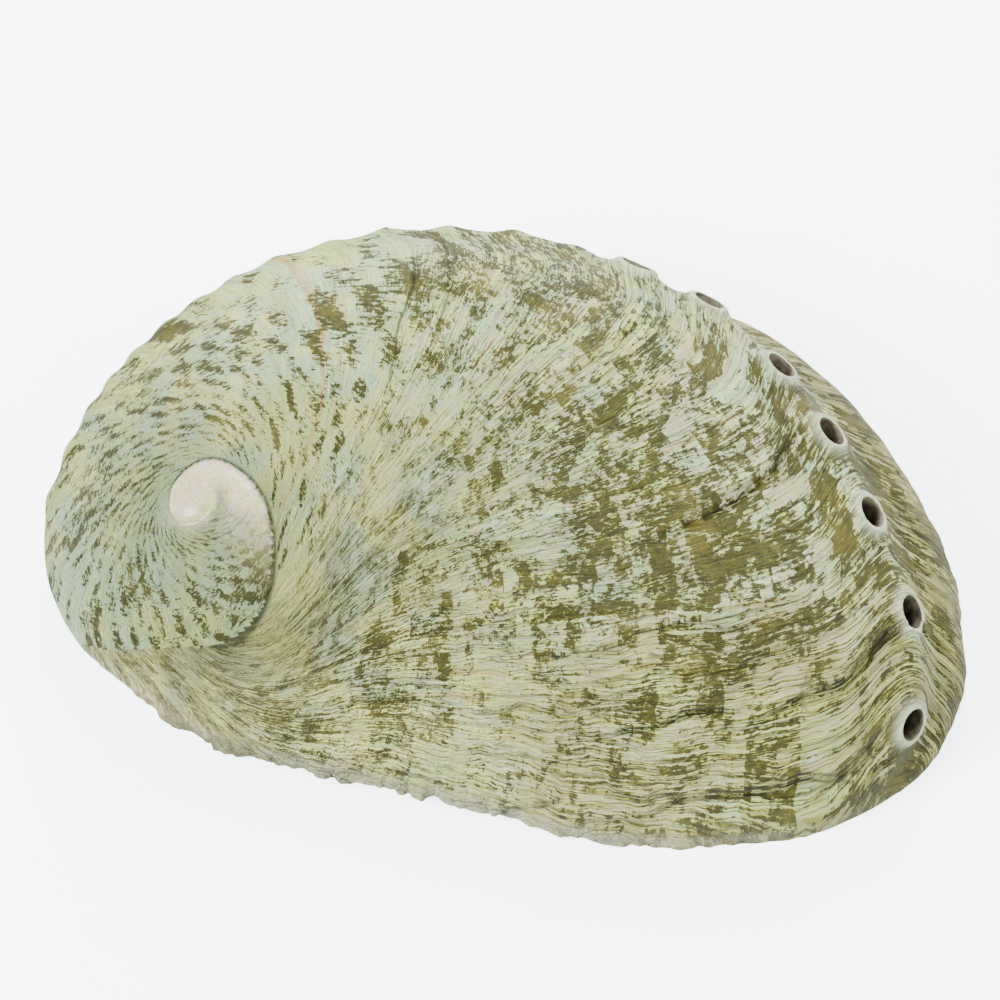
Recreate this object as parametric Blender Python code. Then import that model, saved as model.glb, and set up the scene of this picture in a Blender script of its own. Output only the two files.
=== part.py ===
"""Abalone shell, one piece, lying on its opening as it does on a table.

Metres, +Z up. +X runs along the shell towards its newest hole, +Y points to the steep side
with the row of holes, and -Y to the thin outer lip. The origin is the middle of the base.
"""

import math

import bpy
import bmesh
import numpy as np
from mathutils import Matrix, Vector

# Outer dome. Radii are measured from the crest, every 15 degrees from +X towards +Y.
OUTLINE = (0.0455, 0.0414, 0.0378, 0.0343, 0.0329, 0.0330, 0.0332, 0.0343, 0.0361, 0.0380,
           0.0399, 0.0416, 0.0426, 0.0408, 0.0358, 0.0307, 0.0285, 0.0277, 0.0292, 0.0334,
           0.0391, 0.0464, 0.0512, 0.0499)
CREST_HEIGHT = 0.0240
SHOULDER_FULLNESS = 2.4
WALL_STEEPNESS = 0.50
LIP_STEEPNESS = 0.80
LIP_START = (-178.0, -140.0)
LIP_END = (-75.0, -25.0)

# The spire end turns in under itself, and part of the thin lip stands off the table.
TUCK_DEPTH = 0.0035
TUCK_HEIGHT = 0.0070
TUCK_START = (70.0, 140.0)
TUCK_END = (190.0, 225.0)
LIP_LIFT = 0.0018
LIP_LIFT_DIRECTION = -112.0
LIP_LIFT_SPREAD = 30.0
LIP_LIFT_POWER = 8

# Walls. The flat ledge inside the steep side is what the shell rests on.
CREST_WALL = 0.0020
SIDE_WALL = 0.0020
LIP_WALL = 0.0013
CALLUS_THICKNESS = 0.0021
CALLUS_DIRECTION = -158.0
CALLUS_SPREAD = 26.0
CALLUS_RANGE = (0.30, 0.60)
LEDGE_WIDTH = (0.0000, 0.0022, 0.0040, 0.0044, 0.0046, 0.0050, 0.0052, 0.0030,
               0.0000, 0.0000, 0.0000, 0.0000)
LEDGE_HEIGHT = 0.0060

# Spire. The suture is the crease between two whorls, winding out clockwise from the apex.
APEX = (-0.0264, -0.0020)
SUTURE_START = 521.0
SUTURE_STEP = -45.0
SUTURE_RADII = (0.00035, 0.00045, 0.0006, 0.0008, 0.0011, 0.0014, 0.0018, 0.0021, 0.0024,
                0.0032, 0.0045, 0.0052, 0.0074, 0.0114, 0.0110, 0.0144)
SUTURE_DEPTH = 0.0016
SUTURE_INNER_WIDTH = 0.0011
SUTURE_OUTER_WIDTH = 0.0042
SUTURE_FULL_WIDTH_AT = 0.0060
SUTURE_LEAST_WIDTH = 0.15
SUTURE_FULL_DEPTH_AT = 0.0078
SUTURE_LEAST_DEPTH = 0.10
SUTURE_END_FADE = 12.0
WHORL_RISE = 0.0005
WHORL_RISE_RADIUS = 0.0100
PIT_FADE = (0.80, 0.97)

# Keel that carries the holes: fraction of the way from crest to rim, every 15 degrees.
KEEL = (0.566, 0.567, 0.598, 0.652, 0.685, 0.678, 0.668, 0.664, 0.665, 0.690, 0.735, 0.800,
        0.860, 0.920, 0.970, 1.050, 1.050, 1.050, 1.050, 1.050, 1.050, 0.935, 0.740, 0.590)
KEEL_START = (-45.0, -31.0)
KEEL_END = (165.0, 195.0)
KEEL_RUN = 0.048
KEEL_HEIGHT = 0.0006
KEEL_WIDTH = 0.0024
GUTTER_DEPTH = 0.0009
GUTTER_WIDTH = 0.0028
GUTTER_OFFSET = 0.0056
GUTTER_FADE = (0.90, 1.00)
RELIEF_FADE = (0.95, 1.00)

# Open holes and the closed, filled ones behind them, as directions about the crest.
OPEN_HOLES = (50.5, 34.0, 15.5, 1.8, -11.3, -22.6, -32.9)
CLOSED_HOLES = (63.0, 76.0, 89.0, 101.0, 112.0, 122.0, 130.0, 137.0, 143.0, 149.0, 154.0,
                159.0, 165.0, 172.0)
HOLE_LENGTH = 0.0030
HOLE_WIDTH = 0.0023
HOLE_SIDES = 16
HOLE_REACH = 0.0080
MOUND_HEIGHT = 0.0008
MOUND_RADIUS = 0.0026
KNOB_HEIGHT = 0.0006
KNOB_RADIUS = 0.0015

# Mesh: cells across each face's grid, and the share of its triangles that is kept.
GRID_CELLS = 128
FLAT_TOLERANCE = 0.00012
KEPT_SHARE = 0.120
NORMAL_STEP = 0.004
SMOOTH_ANGLE = 40.0

SHELL_COLOUR = (0.42, 0.43, 0.28, 1.0)
SHELL_ROUGHNESS = 0.62


def clear_scene():
    """Remove every object that is in the scene already."""
    for item in list(bpy.data.objects):
        bpy.data.objects.remove(item, do_unlink=True)


def smoothstep(low, high, value):
    """Rise smoothly from 0 at low to 1 at high."""
    share = np.clip((value - low) / (high - low), 0.0, 1.0)
    return share * share * (3.0 - 2.0 * share)


def signed_degrees(angle):
    """Turn radians into degrees from -180 to 180."""
    return (np.degrees(angle) + 180.0) % 360.0 - 180.0


def curve_value(values, place, closed):
    """Read a smooth curve through evenly spaced values at a place counted in steps."""
    values = np.asarray(values)
    last = len(values) - 1
    first = np.floor(place).astype(int)
    share = place - first
    picks = [first + step for step in (-1, 0, 1, 2)]
    picks = [pick % len(values) if closed else np.clip(pick, 0, last) for pick in picks]
    before, start, end, after = (values[pick] for pick in picks)
    bend = 2.0 * before - 5.0 * start + 4.0 * end - after
    twist = -before + 3.0 * start - 3.0 * end + after
    return 0.5 * (2.0 * start + (end - before) * share + bend * share**2 + twist * share**3)


def ring_value(values, angle):
    """Read a closed curve through values spaced evenly round the crest, at radians."""
    return curve_value(values, (np.degrees(angle) % 360.0) * len(values) / 360.0, True)


def lip_share(angle):
    """Return 1 along the thin outer lip and 0 round the rest of the rim."""
    degrees = signed_degrees(angle)
    return smoothstep(*LIP_START, degrees) * (1.0 - smoothstep(*LIP_END, degrees))


def tuck_share(angle):
    """Return 1 where the wall turns in under the spire end."""
    degrees = np.degrees(angle) % 360.0
    return smoothstep(*TUCK_START, degrees) * (1.0 - smoothstep(*TUCK_END, degrees))


def dome(u, v, thickness_side=0.0, thickness_crest=0.0, ledge=0.0, tuck_height=TUCK_HEIGHT):
    """Place points of the unit disc on a smooth dome, the outer one or one inside it."""
    angle = np.arctan2(v, u)
    reach = np.sin(np.minimum(np.hypot(u, v), 1.0) * math.pi / 2.0)
    lip = lip_share(angle)
    steepness = WALL_STEEPNESS + (LIP_STEEPNESS - WALL_STEEPNESS) * lip
    fall = np.maximum(1.0 - reach**SHOULDER_FULLNESS, 0.0) ** steepness
    height = (CREST_HEIGHT - thickness_crest) * fall
    under = np.maximum(1.0 - height / tuck_height, 0.0) ** 2
    radius = (ring_value(OUTLINE, angle) - thickness_side) * reach
    radius = radius - (TUCK_DEPTH * tuck_share(angle) + ledge) * under
    spread = (signed_degrees(angle) - LIP_LIFT_DIRECTION) / LIP_LIFT_SPREAD
    height = height + LIP_LIFT * lip * np.exp(-(spread**2)) * reach**LIP_LIFT_POWER
    return np.stack([radius * np.cos(angle), radius * np.sin(angle), height], axis=-1)


def dome_normals(u, v):
    """Return the outer dome's outward unit normals at points of the unit disc."""
    step = NORMAL_STEP
    scale = np.minimum(1.0, (1.0 - step) / np.maximum(np.hypot(u, v), 1e-9))
    u = u * scale
    v = v * scale
    along_u = dome(u + step, v) - dome(u - step, v)
    along_v = dome(u, v + step) - dome(u, v - step)
    normal = np.cross(along_u, along_v)
    return normal / np.maximum(np.linalg.norm(normal, axis=-1, keepdims=True), 1e-12)


def suture_radius(turn):
    """Return the distance from the apex to the crease at an unwound direction in degrees."""
    place = np.clip((turn - SUTURE_START) / SUTURE_STEP, 0.0, len(SUTURE_RADII) - 1.0)
    return np.exp(curve_value(np.log(SUTURE_RADII), place, False))


def spire_relief(x, y):
    """Return the height of the spire's crease and rounded whorls at a place seen from above."""
    east = x - APEX[0]
    north = y - APEX[1]
    distance = np.hypot(east, north)
    direction = np.degrees(np.arctan2(north, east))
    end = SUTURE_START + SUTURE_STEP * (len(SUTURE_RADII) - 1)
    relief = np.zeros_like(distance)
    for turn in (0.0, 360.0):
        unwound = direction + turn
        there = (unwound <= SUTURE_START) & (unwound >= end)
        crease = suture_radius(unwound)
        gap = distance - crease
        width = np.where(gap < 0.0, SUTURE_INNER_WIDTH, SUTURE_OUTER_WIDTH)
        width = width * np.clip(crease / SUTURE_FULL_WIDTH_AT, SUTURE_LEAST_WIDTH, 1.0)
        depth = SUTURE_DEPTH * np.clip(crease / SUTURE_FULL_DEPTH_AT, SUTURE_LEAST_DEPTH, 1.0)
        depth = depth * smoothstep(end, end + SUTURE_END_FADE, unwound)
        relief = relief - np.where(there, depth * np.exp(-np.abs(gap) / width), 0.0)
    return relief + WHORL_RISE * np.exp(-((distance / WHORL_RISE_RADIUS) ** 2))


def keel_share(angle):
    """Return 1 along the keel, fading out at both of its ends."""
    degrees = (np.degrees(angle) + 90.0) % 360.0 - 90.0
    return smoothstep(*KEEL_START, degrees) * (1.0 - smoothstep(*KEEL_END, degrees))


def keel_relief(u, v):
    """Return the height of the keel and of the shallow gutter outside it."""
    angle = np.arctan2(v, u)
    offset = (np.hypot(u, v) - ring_value(KEEL, angle)) * KEEL_RUN
    ridge = KEEL_HEIGHT * np.exp(-((offset / KEEL_WIDTH) ** 2))
    gutter = GUTTER_DEPTH * np.exp(-(((offset - GUTTER_OFFSET) / GUTTER_WIDTH) ** 2))
    rim_fade = 1.0 - smoothstep(*GUTTER_FADE, np.hypot(u, v))
    return (ridge - gutter * rim_fade) * keel_share(angle)


def keel_place(degrees):
    """Return the disc coordinates of a place on the keel."""
    angle = math.radians(degrees)
    share = float(ring_value(KEEL, np.array(angle)))
    return share * math.cos(angle), share * math.sin(angle)


def bump_relief(points, directions, height, radius):
    """Return the height of rounded bumps set along the keel."""
    relief = np.zeros(points.shape[:-1])
    for degrees in directions:
        u, v = keel_place(degrees)
        centre = dome(np.array(u), np.array(v))
        squared = ((points - centre) ** 2).sum(axis=-1)
        relief = np.maximum(relief, height * np.exp(-squared / radius**2))
    return relief


def outer_surface(u, v):
    """Place disc points on the shell's outer face, with its spire, keel, mounds and knobs."""
    points = dome(u, v)
    normals = dome_normals(u, v)
    relief = spire_relief(points[..., 0], points[..., 1]) + keel_relief(u, v)
    relief = relief + bump_relief(points, OPEN_HOLES, MOUND_HEIGHT, MOUND_RADIUS)
    relief = relief + bump_relief(points, CLOSED_HOLES, KNOB_HEIGHT, KNOB_RADIUS)
    rim_fade = 1.0 - smoothstep(*RELIEF_FADE, np.hypot(u, v))
    return points + normals * (relief * rim_fade)[..., None]


def inner_surface(u, v):
    """Place disc points on the hollow face, with the ledge at its foot and the spire's pit."""
    angle = np.arctan2(v, u)
    side = SIDE_WALL + (LIP_WALL - SIDE_WALL) * lip_share(angle)
    spread = (signed_degrees(angle) - CALLUS_DIRECTION) / CALLUS_SPREAD
    callus = CALLUS_THICKNESS * np.exp(-(spread**2))
    side = side + callus * smoothstep(*CALLUS_RANGE, np.hypot(u, v))
    ledge = ring_value(LEDGE_WIDTH, angle)
    points = dome(u, v, side, CREST_WALL, ledge, LEDGE_HEIGHT)
    fade = 1.0 - smoothstep(*PIT_FADE, np.hypot(u, v))
    points[..., 2] += spire_relief(points[..., 0], points[..., 1]) * fade
    return points


def disc_grid(mesh):
    """Add a square grid to a bmesh and return its vertices with their unit-disc coordinates."""
    made = bmesh.ops.create_grid(mesh, x_segments=GRID_CELLS, y_segments=GRID_CELLS, size=1.0)
    vertices = made["verts"]
    square = np.array([vertex.co[:2] for vertex in vertices])
    u = square[:, 0] * np.sqrt(1.0 - square[:, 1] ** 2 / 2.0)
    v = square[:, 1] * np.sqrt(1.0 - square[:, 0] ** 2 / 2.0)
    return vertices, u, v


def add_face(mesh, surface):
    """Add one face of the shell, a grid laid on a surface, and return its rim edges."""
    vertices, u, v = disc_grid(mesh)
    for vertex, place in zip(vertices, surface(u, v)):
        vertex.co = place
    own = set(vertices)
    return [edge for edge in mesh.edges if edge.is_boundary and edge.verts[0] in own]


def shell_mesh():
    """Model both faces of the shell and join them along the rim and the flat ledge."""
    mesh = bmesh.new()
    outer_rim = add_face(mesh, outer_surface)
    outer_faces = set(mesh.faces)
    inner_rim = add_face(mesh, inner_surface)
    hollow = [face for face in mesh.faces if face not in outer_faces]
    bmesh.ops.reverse_faces(mesh, faces=hollow)
    bmesh.ops.bridge_loops(mesh, edges=outer_rim + inner_rim)
    bmesh.ops.recalc_face_normals(mesh, faces=mesh.faces)
    data = bpy.data.meshes.new("shell")
    mesh.to_mesh(data)
    mesh.free()
    return data


def simplify(item):
    """Thin the mesh where it is nearly flat and level the faces that rest on the table."""
    thin = item.modifiers.new("Thin", "DECIMATE")
    thin.ratio = KEPT_SHARE
    evaluated = item.evaluated_get(bpy.context.evaluated_depsgraph_get())
    data = bpy.data.meshes.new_from_object(evaluated)
    item.modifiers.remove(thin)
    item.data = data
    for vertex in data.vertices:
        if vertex.co.z < FLAT_TOLERANCE:
            vertex.co.z = 0.0


def centre_base(data, cutters):
    """Move the shell so that the middle of its base is the origin, and the cutters with it."""
    corners = np.array([vertex.co for vertex in data.vertices])
    low = corners.min(axis=0)
    high = corners.max(axis=0)
    shift = Vector((-(low[0] + high[0]) / 2.0, -(low[1] + high[1]) / 2.0, -low[2]))
    data.transform(Matrix.Translation(shift))
    for cutter in cutters:
        cutter.data.transform(Matrix.Translation(shift))


def hole_cutter(number, degrees):
    """Make the oval rod that opens one hole, square to the shell's face."""
    u, v = keel_place(degrees)
    centre = Vector(dome(np.array(u), np.array(v)))
    outward = Vector(dome_normals(np.array(u), np.array(v)))
    ahead = Vector(keel_ahead(degrees))
    across = outward.cross(ahead).normalized()
    ahead = across.cross(outward).normalized()
    turn = Matrix((ahead, across, outward)).transposed().to_4x4()
    mesh = bmesh.new()
    bmesh.ops.create_cone(mesh, cap_ends=True, segments=HOLE_SIDES, radius1=0.5, radius2=0.5, depth=1.0)
    bmesh.ops.scale(mesh, vec=(HOLE_LENGTH, HOLE_WIDTH, HOLE_REACH), verts=mesh.verts)
    bmesh.ops.transform(mesh, matrix=Matrix.Translation(centre) @ turn, verts=mesh.verts)
    data = bpy.data.meshes.new(f"hole_{number}")
    mesh.to_mesh(data)
    mesh.free()
    cutter = bpy.data.objects.new(f"hole_{number}", data)
    bpy.context.collection.objects.link(cutter)
    cutter.hide_render = True
    cutter.display_type = "WIRE"
    return cutter


def keel_ahead(degrees):
    """Return the direction in which the keel runs at a place on it."""
    back = dome(*(np.array(value) for value in keel_place(degrees + 1.0)))
    front = dome(*(np.array(value) for value in keel_place(degrees - 1.0)))
    return front - back


def shell_material():
    """Make the plain green-brown finish of the outer face."""
    material = bpy.data.materials.new("shell_limestone")
    material.use_nodes = True
    shader = material.node_tree.nodes["Principled BSDF"]
    shader.inputs["Base Color"].default_value = SHELL_COLOUR
    shader.inputs["Roughness"].default_value = SHELL_ROUGHNESS
    shader.inputs["Metallic"].default_value = 0.0
    return material


def build_shell():
    """Build the shell, thin its mesh and open its seven holes."""
    shell = bpy.data.objects.new("shell", shell_mesh())
    bpy.context.collection.objects.link(shell)
    simplify(shell)
    cutters = [hole_cutter(number, degrees) for number, degrees in enumerate(OPEN_HOLES, 1)]
    centre_base(shell.data, cutters)
    for cutter in cutters:
        cut = shell.modifiers.new(cutter.name, "BOOLEAN")
        cut.operation = "DIFFERENCE"
        cut.solver = "EXACT"
        cut.object = cutter
    shell.data.materials.clear()
    shell.data.materials.append(shell_material())
    shell.data.shade_smooth()
    shell.data.set_sharp_from_angle(angle=math.radians(SMOOTH_ANGLE))
    return shell


clear_scene()
build_shell()
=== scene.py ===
"""Abalone shell lying on its opening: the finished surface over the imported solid.

Metres, +Z up. +X runs along the shell to its newest hole, +Y to the steep side with the holes.
The shell's form is worked out on a unit disc laid over its dome. Its pattern follows two
directions that the animal left behind: growth lines, which once were the outer lip, and cords,
which wind out from the spire.
"""

import logging
import math
from dataclasses import dataclass, field
from enum import Enum

import bmesh
import bpy
import numpy as np
from mathutils import Matrix, Vector


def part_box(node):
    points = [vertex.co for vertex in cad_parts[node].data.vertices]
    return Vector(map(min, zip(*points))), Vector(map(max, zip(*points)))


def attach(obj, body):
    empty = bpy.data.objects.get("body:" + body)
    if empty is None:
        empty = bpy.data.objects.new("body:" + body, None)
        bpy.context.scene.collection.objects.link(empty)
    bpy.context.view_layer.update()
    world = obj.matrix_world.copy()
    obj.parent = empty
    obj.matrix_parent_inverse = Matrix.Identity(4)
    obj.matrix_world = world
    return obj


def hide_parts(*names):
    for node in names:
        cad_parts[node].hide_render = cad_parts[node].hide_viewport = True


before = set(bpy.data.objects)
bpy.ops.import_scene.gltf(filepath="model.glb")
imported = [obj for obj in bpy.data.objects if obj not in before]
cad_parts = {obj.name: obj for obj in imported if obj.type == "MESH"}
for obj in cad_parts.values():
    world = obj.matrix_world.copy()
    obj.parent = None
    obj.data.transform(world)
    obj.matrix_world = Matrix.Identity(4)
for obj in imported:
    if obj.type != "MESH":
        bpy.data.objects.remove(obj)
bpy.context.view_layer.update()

LOG = logging.getLogger("abalone_shell")
NODE = "shell"
FULL_TURN = 360.0
FLOW_SCALE = 100.0
MIDDLE = 0.5


class Slot(Enum):
    """Material slots of the shell's one mesh."""

    OUTER = 0
    HOLLOW = 1
    EDGE = 2
    BORE = 3


def linear_colour(red: float, green: float, blue: float) -> tuple[float, float, float, float]:
    """Turn a display colour from 0 to 255 into the linear colour that a shader takes.

    Args:
        red: Red, from 0 to 255.
        green: Green, from 0 to 255.
        blue: Blue, from 0 to 255.

    Returns:
        Linear red, green, blue and an alpha of 1.
    """
    def channel(value: float) -> float:
        """Return one linear channel."""
        share = value / 255.0
        return share / 12.92 if share <= 0.04045 else ((share + 0.055) / 1.055) ** 2.4

    return channel(red), channel(green), channel(blue), 1.0


def smoothstep(low: float, high: float, value: np.ndarray) -> np.ndarray:
    """Rise smoothly from 0 at low to 1 at high.

    Args:
        low: Value at which the result leaves 0.
        high: Value at which the result reaches 1.
        value: Values to map.

    Returns:
        Shares from 0 to 1.
    """
    share = np.clip((value - low) / (high - low), 0.0, 1.0)
    return share * share * (3.0 - 2.0 * share)


def signed_degrees(angle: np.ndarray) -> np.ndarray:
    """Turn radians into degrees from -180 to 180."""
    return (np.degrees(angle) + 180.0) % FULL_TURN - 180.0


def curve_value(values: tuple[float, ...], place: np.ndarray, closed: bool) -> np.ndarray:
    """Read a smooth curve through evenly spaced values.

    Args:
        values: Values that the curve passes through.
        place: Places along the curve, counted in steps.
        closed: Whether the last value joins the first.

    Returns:
        The curve's value at each place.
    """
    knots = np.asarray(values)
    last = len(knots) - 1
    first = np.floor(place).astype(int)
    share = place - first
    picks = [first + step for step in (-1, 0, 1, 2)]
    picks = [pick % len(knots) if closed else np.clip(pick, 0, last) for pick in picks]
    before, start, end, after = (knots[pick] for pick in picks)
    bend = 2.0 * before - 5.0 * start + 4.0 * end - after
    twist = -before + 3.0 * start - 3.0 * end + after
    return 0.5 * (2.0 * start + (end - before) * share + bend * share**2 + twist * share**3)


def ring_value(values: tuple[float, ...], angle: np.ndarray) -> np.ndarray:
    """Read a closed curve through values spaced evenly round the crest, at radians."""
    return curve_value(values, (np.degrees(angle) % FULL_TURN) * len(values) / FULL_TURN, True)


def new_object(name: str, data: bpy.types.ID) -> bpy.types.Object:
    """Put a mesh, a lamp or a camera into the scene as an object of that name."""
    made = bpy.data.objects.new(name, data)
    bpy.context.collection.objects.link(made)
    return made


def close_mesh(name: str, mesh: bmesh.types.BMesh) -> bpy.types.Mesh:
    """Turn a finished edit mesh into mesh data of that name."""
    data = bpy.data.meshes.new(name)
    mesh.to_mesh(data)
    mesh.free()
    return data


class Roughcast:
    """Smooth seeded noise over a plane, from -1 to 1."""

    SIDE = 512

    def __init__(self, seed: int) -> None:
        """Fill the noise's table from a seed."""
        self.table = np.random.default_rng(seed).uniform(-1.0, 1.0, (self.SIDE, self.SIDE))

    def sample(self, x: np.ndarray, y: np.ndarray) -> np.ndarray:
        """Read the noise.

        Args:
            x: Places across, counted in the noise's own cells.
            y: Places along.

        Returns:
            The noise at each place.
        """
        column = np.floor(x).astype(int)
        row = np.floor(y).astype(int)
        across = smoothstep(0.0, 1.0, x - column)
        along = smoothstep(0.0, 1.0, y - row)
        corner = [
            self.table[(row + up) % self.SIDE, (column + right) % self.SIDE]
            for up in (0, 1)
            for right in (0, 1)
        ]
        low = corner[0] + (corner[1] - corner[0]) * across
        high = corner[2] + (corner[3] - corner[2]) * across
        return low + (high - low) * along


@dataclass(frozen=True)
class Dome:
    """The smooth dome under all the shell's relief, about its crest."""

    outline: tuple[float, ...] = (
        0.0455, 0.0414, 0.0378, 0.0343, 0.0329, 0.0330, 0.0332, 0.0343, 0.0361, 0.0380,
        0.0399, 0.0416, 0.0426, 0.0408, 0.0358, 0.0307, 0.0285, 0.0277, 0.0292, 0.0334,
        0.0391, 0.0464, 0.0512, 0.0499,
    )
    crest_height: float = 0.0240
    fullness: float = 2.4
    wall_steepness: float = 0.50
    lip_steepness: float = 0.80
    lip_start: tuple[float, float] = (-178.0, -140.0)
    lip_end: tuple[float, float] = (-75.0, -25.0)
    tuck_depth: float = 0.0035
    tuck_height: float = 0.0070
    tuck_start: tuple[float, float] = (70.0, 140.0)
    tuck_end: tuple[float, float] = (190.0, 225.0)
    lift: float = 0.0018
    lift_direction: float = -112.0
    lift_spread: float = 30.0
    lift_power: int = 8
    normal_step: float = 0.004

    def lip_share(self, angle: np.ndarray) -> np.ndarray:
        """Return 1 along the thin outer lip and 0 round the rest of the rim."""
        degrees = signed_degrees(angle)
        return smoothstep(*self.lip_start, degrees) * (1.0 - smoothstep(*self.lip_end, degrees))

    def tuck_share(self, angle: np.ndarray) -> np.ndarray:
        """Return 1 where the wall turns in under the spire end."""
        degrees = np.degrees(angle) % FULL_TURN
        return smoothstep(*self.tuck_start, degrees) * (1.0 - smoothstep(*self.tuck_end, degrees))

    def place(
        self,
        u: np.ndarray,
        v: np.ndarray,
        side_wall: np.ndarray | float = 0.0,
        crest_wall: float = 0.0,
        ledge: np.ndarray | float = 0.0,
        foot: float | None = None,
    ) -> np.ndarray:
        """Place points of the unit disc on the dome, or on one that lies inside it.

        Args:
            u: Disc coordinate along the shell.
            v: Disc coordinate across the shell.
            side_wall: How far inside the outline the dome stays.
            crest_wall: How far below the crest the dome stays.
            ledge: Extra distance that the dome's foot turns in.
            foot: Height below which the foot turns in.

        Returns:
            Points, one row of x, y and z for each disc point.
        """
        angle = np.arctan2(v, u)
        reach = np.sin(np.minimum(np.hypot(u, v), 1.0) * math.pi / 2.0)
        lip = self.lip_share(angle)
        steepness = self.wall_steepness + (self.lip_steepness - self.wall_steepness) * lip
        fall = np.maximum(1.0 - reach**self.fullness, 0.0) ** steepness
        height = (self.crest_height - crest_wall) * fall
        under = np.maximum(1.0 - height / (foot or self.tuck_height), 0.0) ** 2
        radius = (ring_value(self.outline, angle) - side_wall) * reach
        radius = radius - (self.tuck_depth * self.tuck_share(angle) + ledge) * under
        spread = (signed_degrees(angle) - self.lift_direction) / self.lift_spread
        height = height + self.lift * lip * np.exp(-(spread**2)) * reach**self.lift_power
        return np.stack([radius * np.cos(angle), radius * np.sin(angle), height], axis=-1)

    def normals(self, u: np.ndarray, v: np.ndarray) -> np.ndarray:
        """Find which way the outer dome faces.

        Args:
            u: Disc coordinate along the shell.
            v: Disc coordinate across the shell.

        Returns:
            Outward unit normals.
        """
        step = self.normal_step
        scale = np.minimum(1.0, (1.0 - step) / np.maximum(np.hypot(u, v), 1e-9))
        u = u * scale
        v = v * scale
        along_u = self.place(u + step, v) - self.place(u - step, v)
        along_v = self.place(u, v + step) - self.place(u, v - step)
        normal = np.cross(along_u, along_v)
        return normal / np.maximum(np.linalg.norm(normal, axis=-1, keepdims=True), 1e-12)


@dataclass(frozen=True)
class Spire:
    """The coil of whorls and the crease between them, wound clockwise from the apex."""

    apex: tuple[float, float] = (-0.0264, -0.0020)
    start: float = 521.0
    step: float = -45.0
    suture: tuple[float, ...] = (
        0.0006, 0.0009, 0.0013, 0.0017, 0.0019, 0.0020, 0.0021, 0.0022, 0.0024,
        0.0032, 0.0045, 0.0052, 0.0074, 0.0114, 0.0110, 0.0144,
    )
    keel: tuple[float, ...] = (
        0.0024, 0.0032, 0.0045, 0.0053, 0.0075, 0.0112, 0.0125, 0.0148, 0.0163,
        0.0210, 0.0330, 0.0535, 0.0710, 0.0900, 0.1100, 0.1300,
    )
    depth: float = 0.0016
    inner_width: float = 0.0011
    outer_width: float = 0.0042
    full_width_at: float = 0.0060
    least_width: float = 0.15
    full_depth_at: float = 0.0078
    least_depth: float = 0.10
    end_fade: float = 50.0
    rise: float = 0.0005
    rise_radius: float = 0.0100

    @property
    def end(self) -> float:
        """Direction at which the crease meets the rim."""
        return self.start + self.step * (len(self.suture) - 1)

    def radius(self, values: tuple[float, ...], turn: np.ndarray) -> np.ndarray:
        """Read the crease's or the keel's distance from the apex at an unwound direction."""
        place = np.clip((turn - self.start) / self.step, 0.0, len(values) - 1.0)
        return np.exp(curve_value(np.log(values), place, False))

    def polar(self, x: np.ndarray, y: np.ndarray) -> tuple[np.ndarray, np.ndarray]:
        """Return distance and direction in degrees from the apex, seen from above."""
        east = x - self.apex[0]
        north = y - self.apex[1]
        return np.hypot(east, north), np.degrees(np.arctan2(north, east))

    def relief(self, x: np.ndarray, y: np.ndarray) -> np.ndarray:
        """Work out the crease and the rounded whorls.

        Args:
            x: Places along the shell.
            y: Places across the shell.

        Returns:
            The height of each place over the dome.
        """
        distance, direction = self.polar(x, y)
        relief = np.zeros_like(distance)
        for turn in (0.0, FULL_TURN):
            unwound = direction + turn
            there = (unwound <= self.start) & (unwound >= self.end)
            crease = self.radius(self.suture, unwound)
            gap = distance - crease
            width = np.where(gap < 0.0, self.inner_width, self.outer_width)
            width = width * np.clip(crease / self.full_width_at, self.least_width, 1.0)
            depth = self.depth * np.clip(crease / self.full_depth_at, self.least_depth, 1.0)
            depth = depth * smoothstep(self.end, self.end + self.end_fade, unwound)
            relief = relief - np.where(there, depth * np.exp(-np.abs(gap) / width), 0.0)
        return relief + self.rise * np.exp(-((distance / self.rise_radius) ** 2))

    def unwind(self, x: np.ndarray, y: np.ndarray) -> np.ndarray:
        """Unwind the direction of places, which tells their whorl.

        Args:
            x: Places along the shell.
            y: Places across the shell.

        Returns:
            Direction from the apex in degrees, with a full turn more for each whorl inwards.
        """
        distance, direction = self.polar(x, y)
        whorl = direction + FULL_TURN * (direction < self.end)
        for _ in range(2):
            inside = (distance < self.radius(self.suture, whorl)) & (whorl <= self.start)
            whorl = whorl + FULL_TURN * inside
        return whorl


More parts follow.
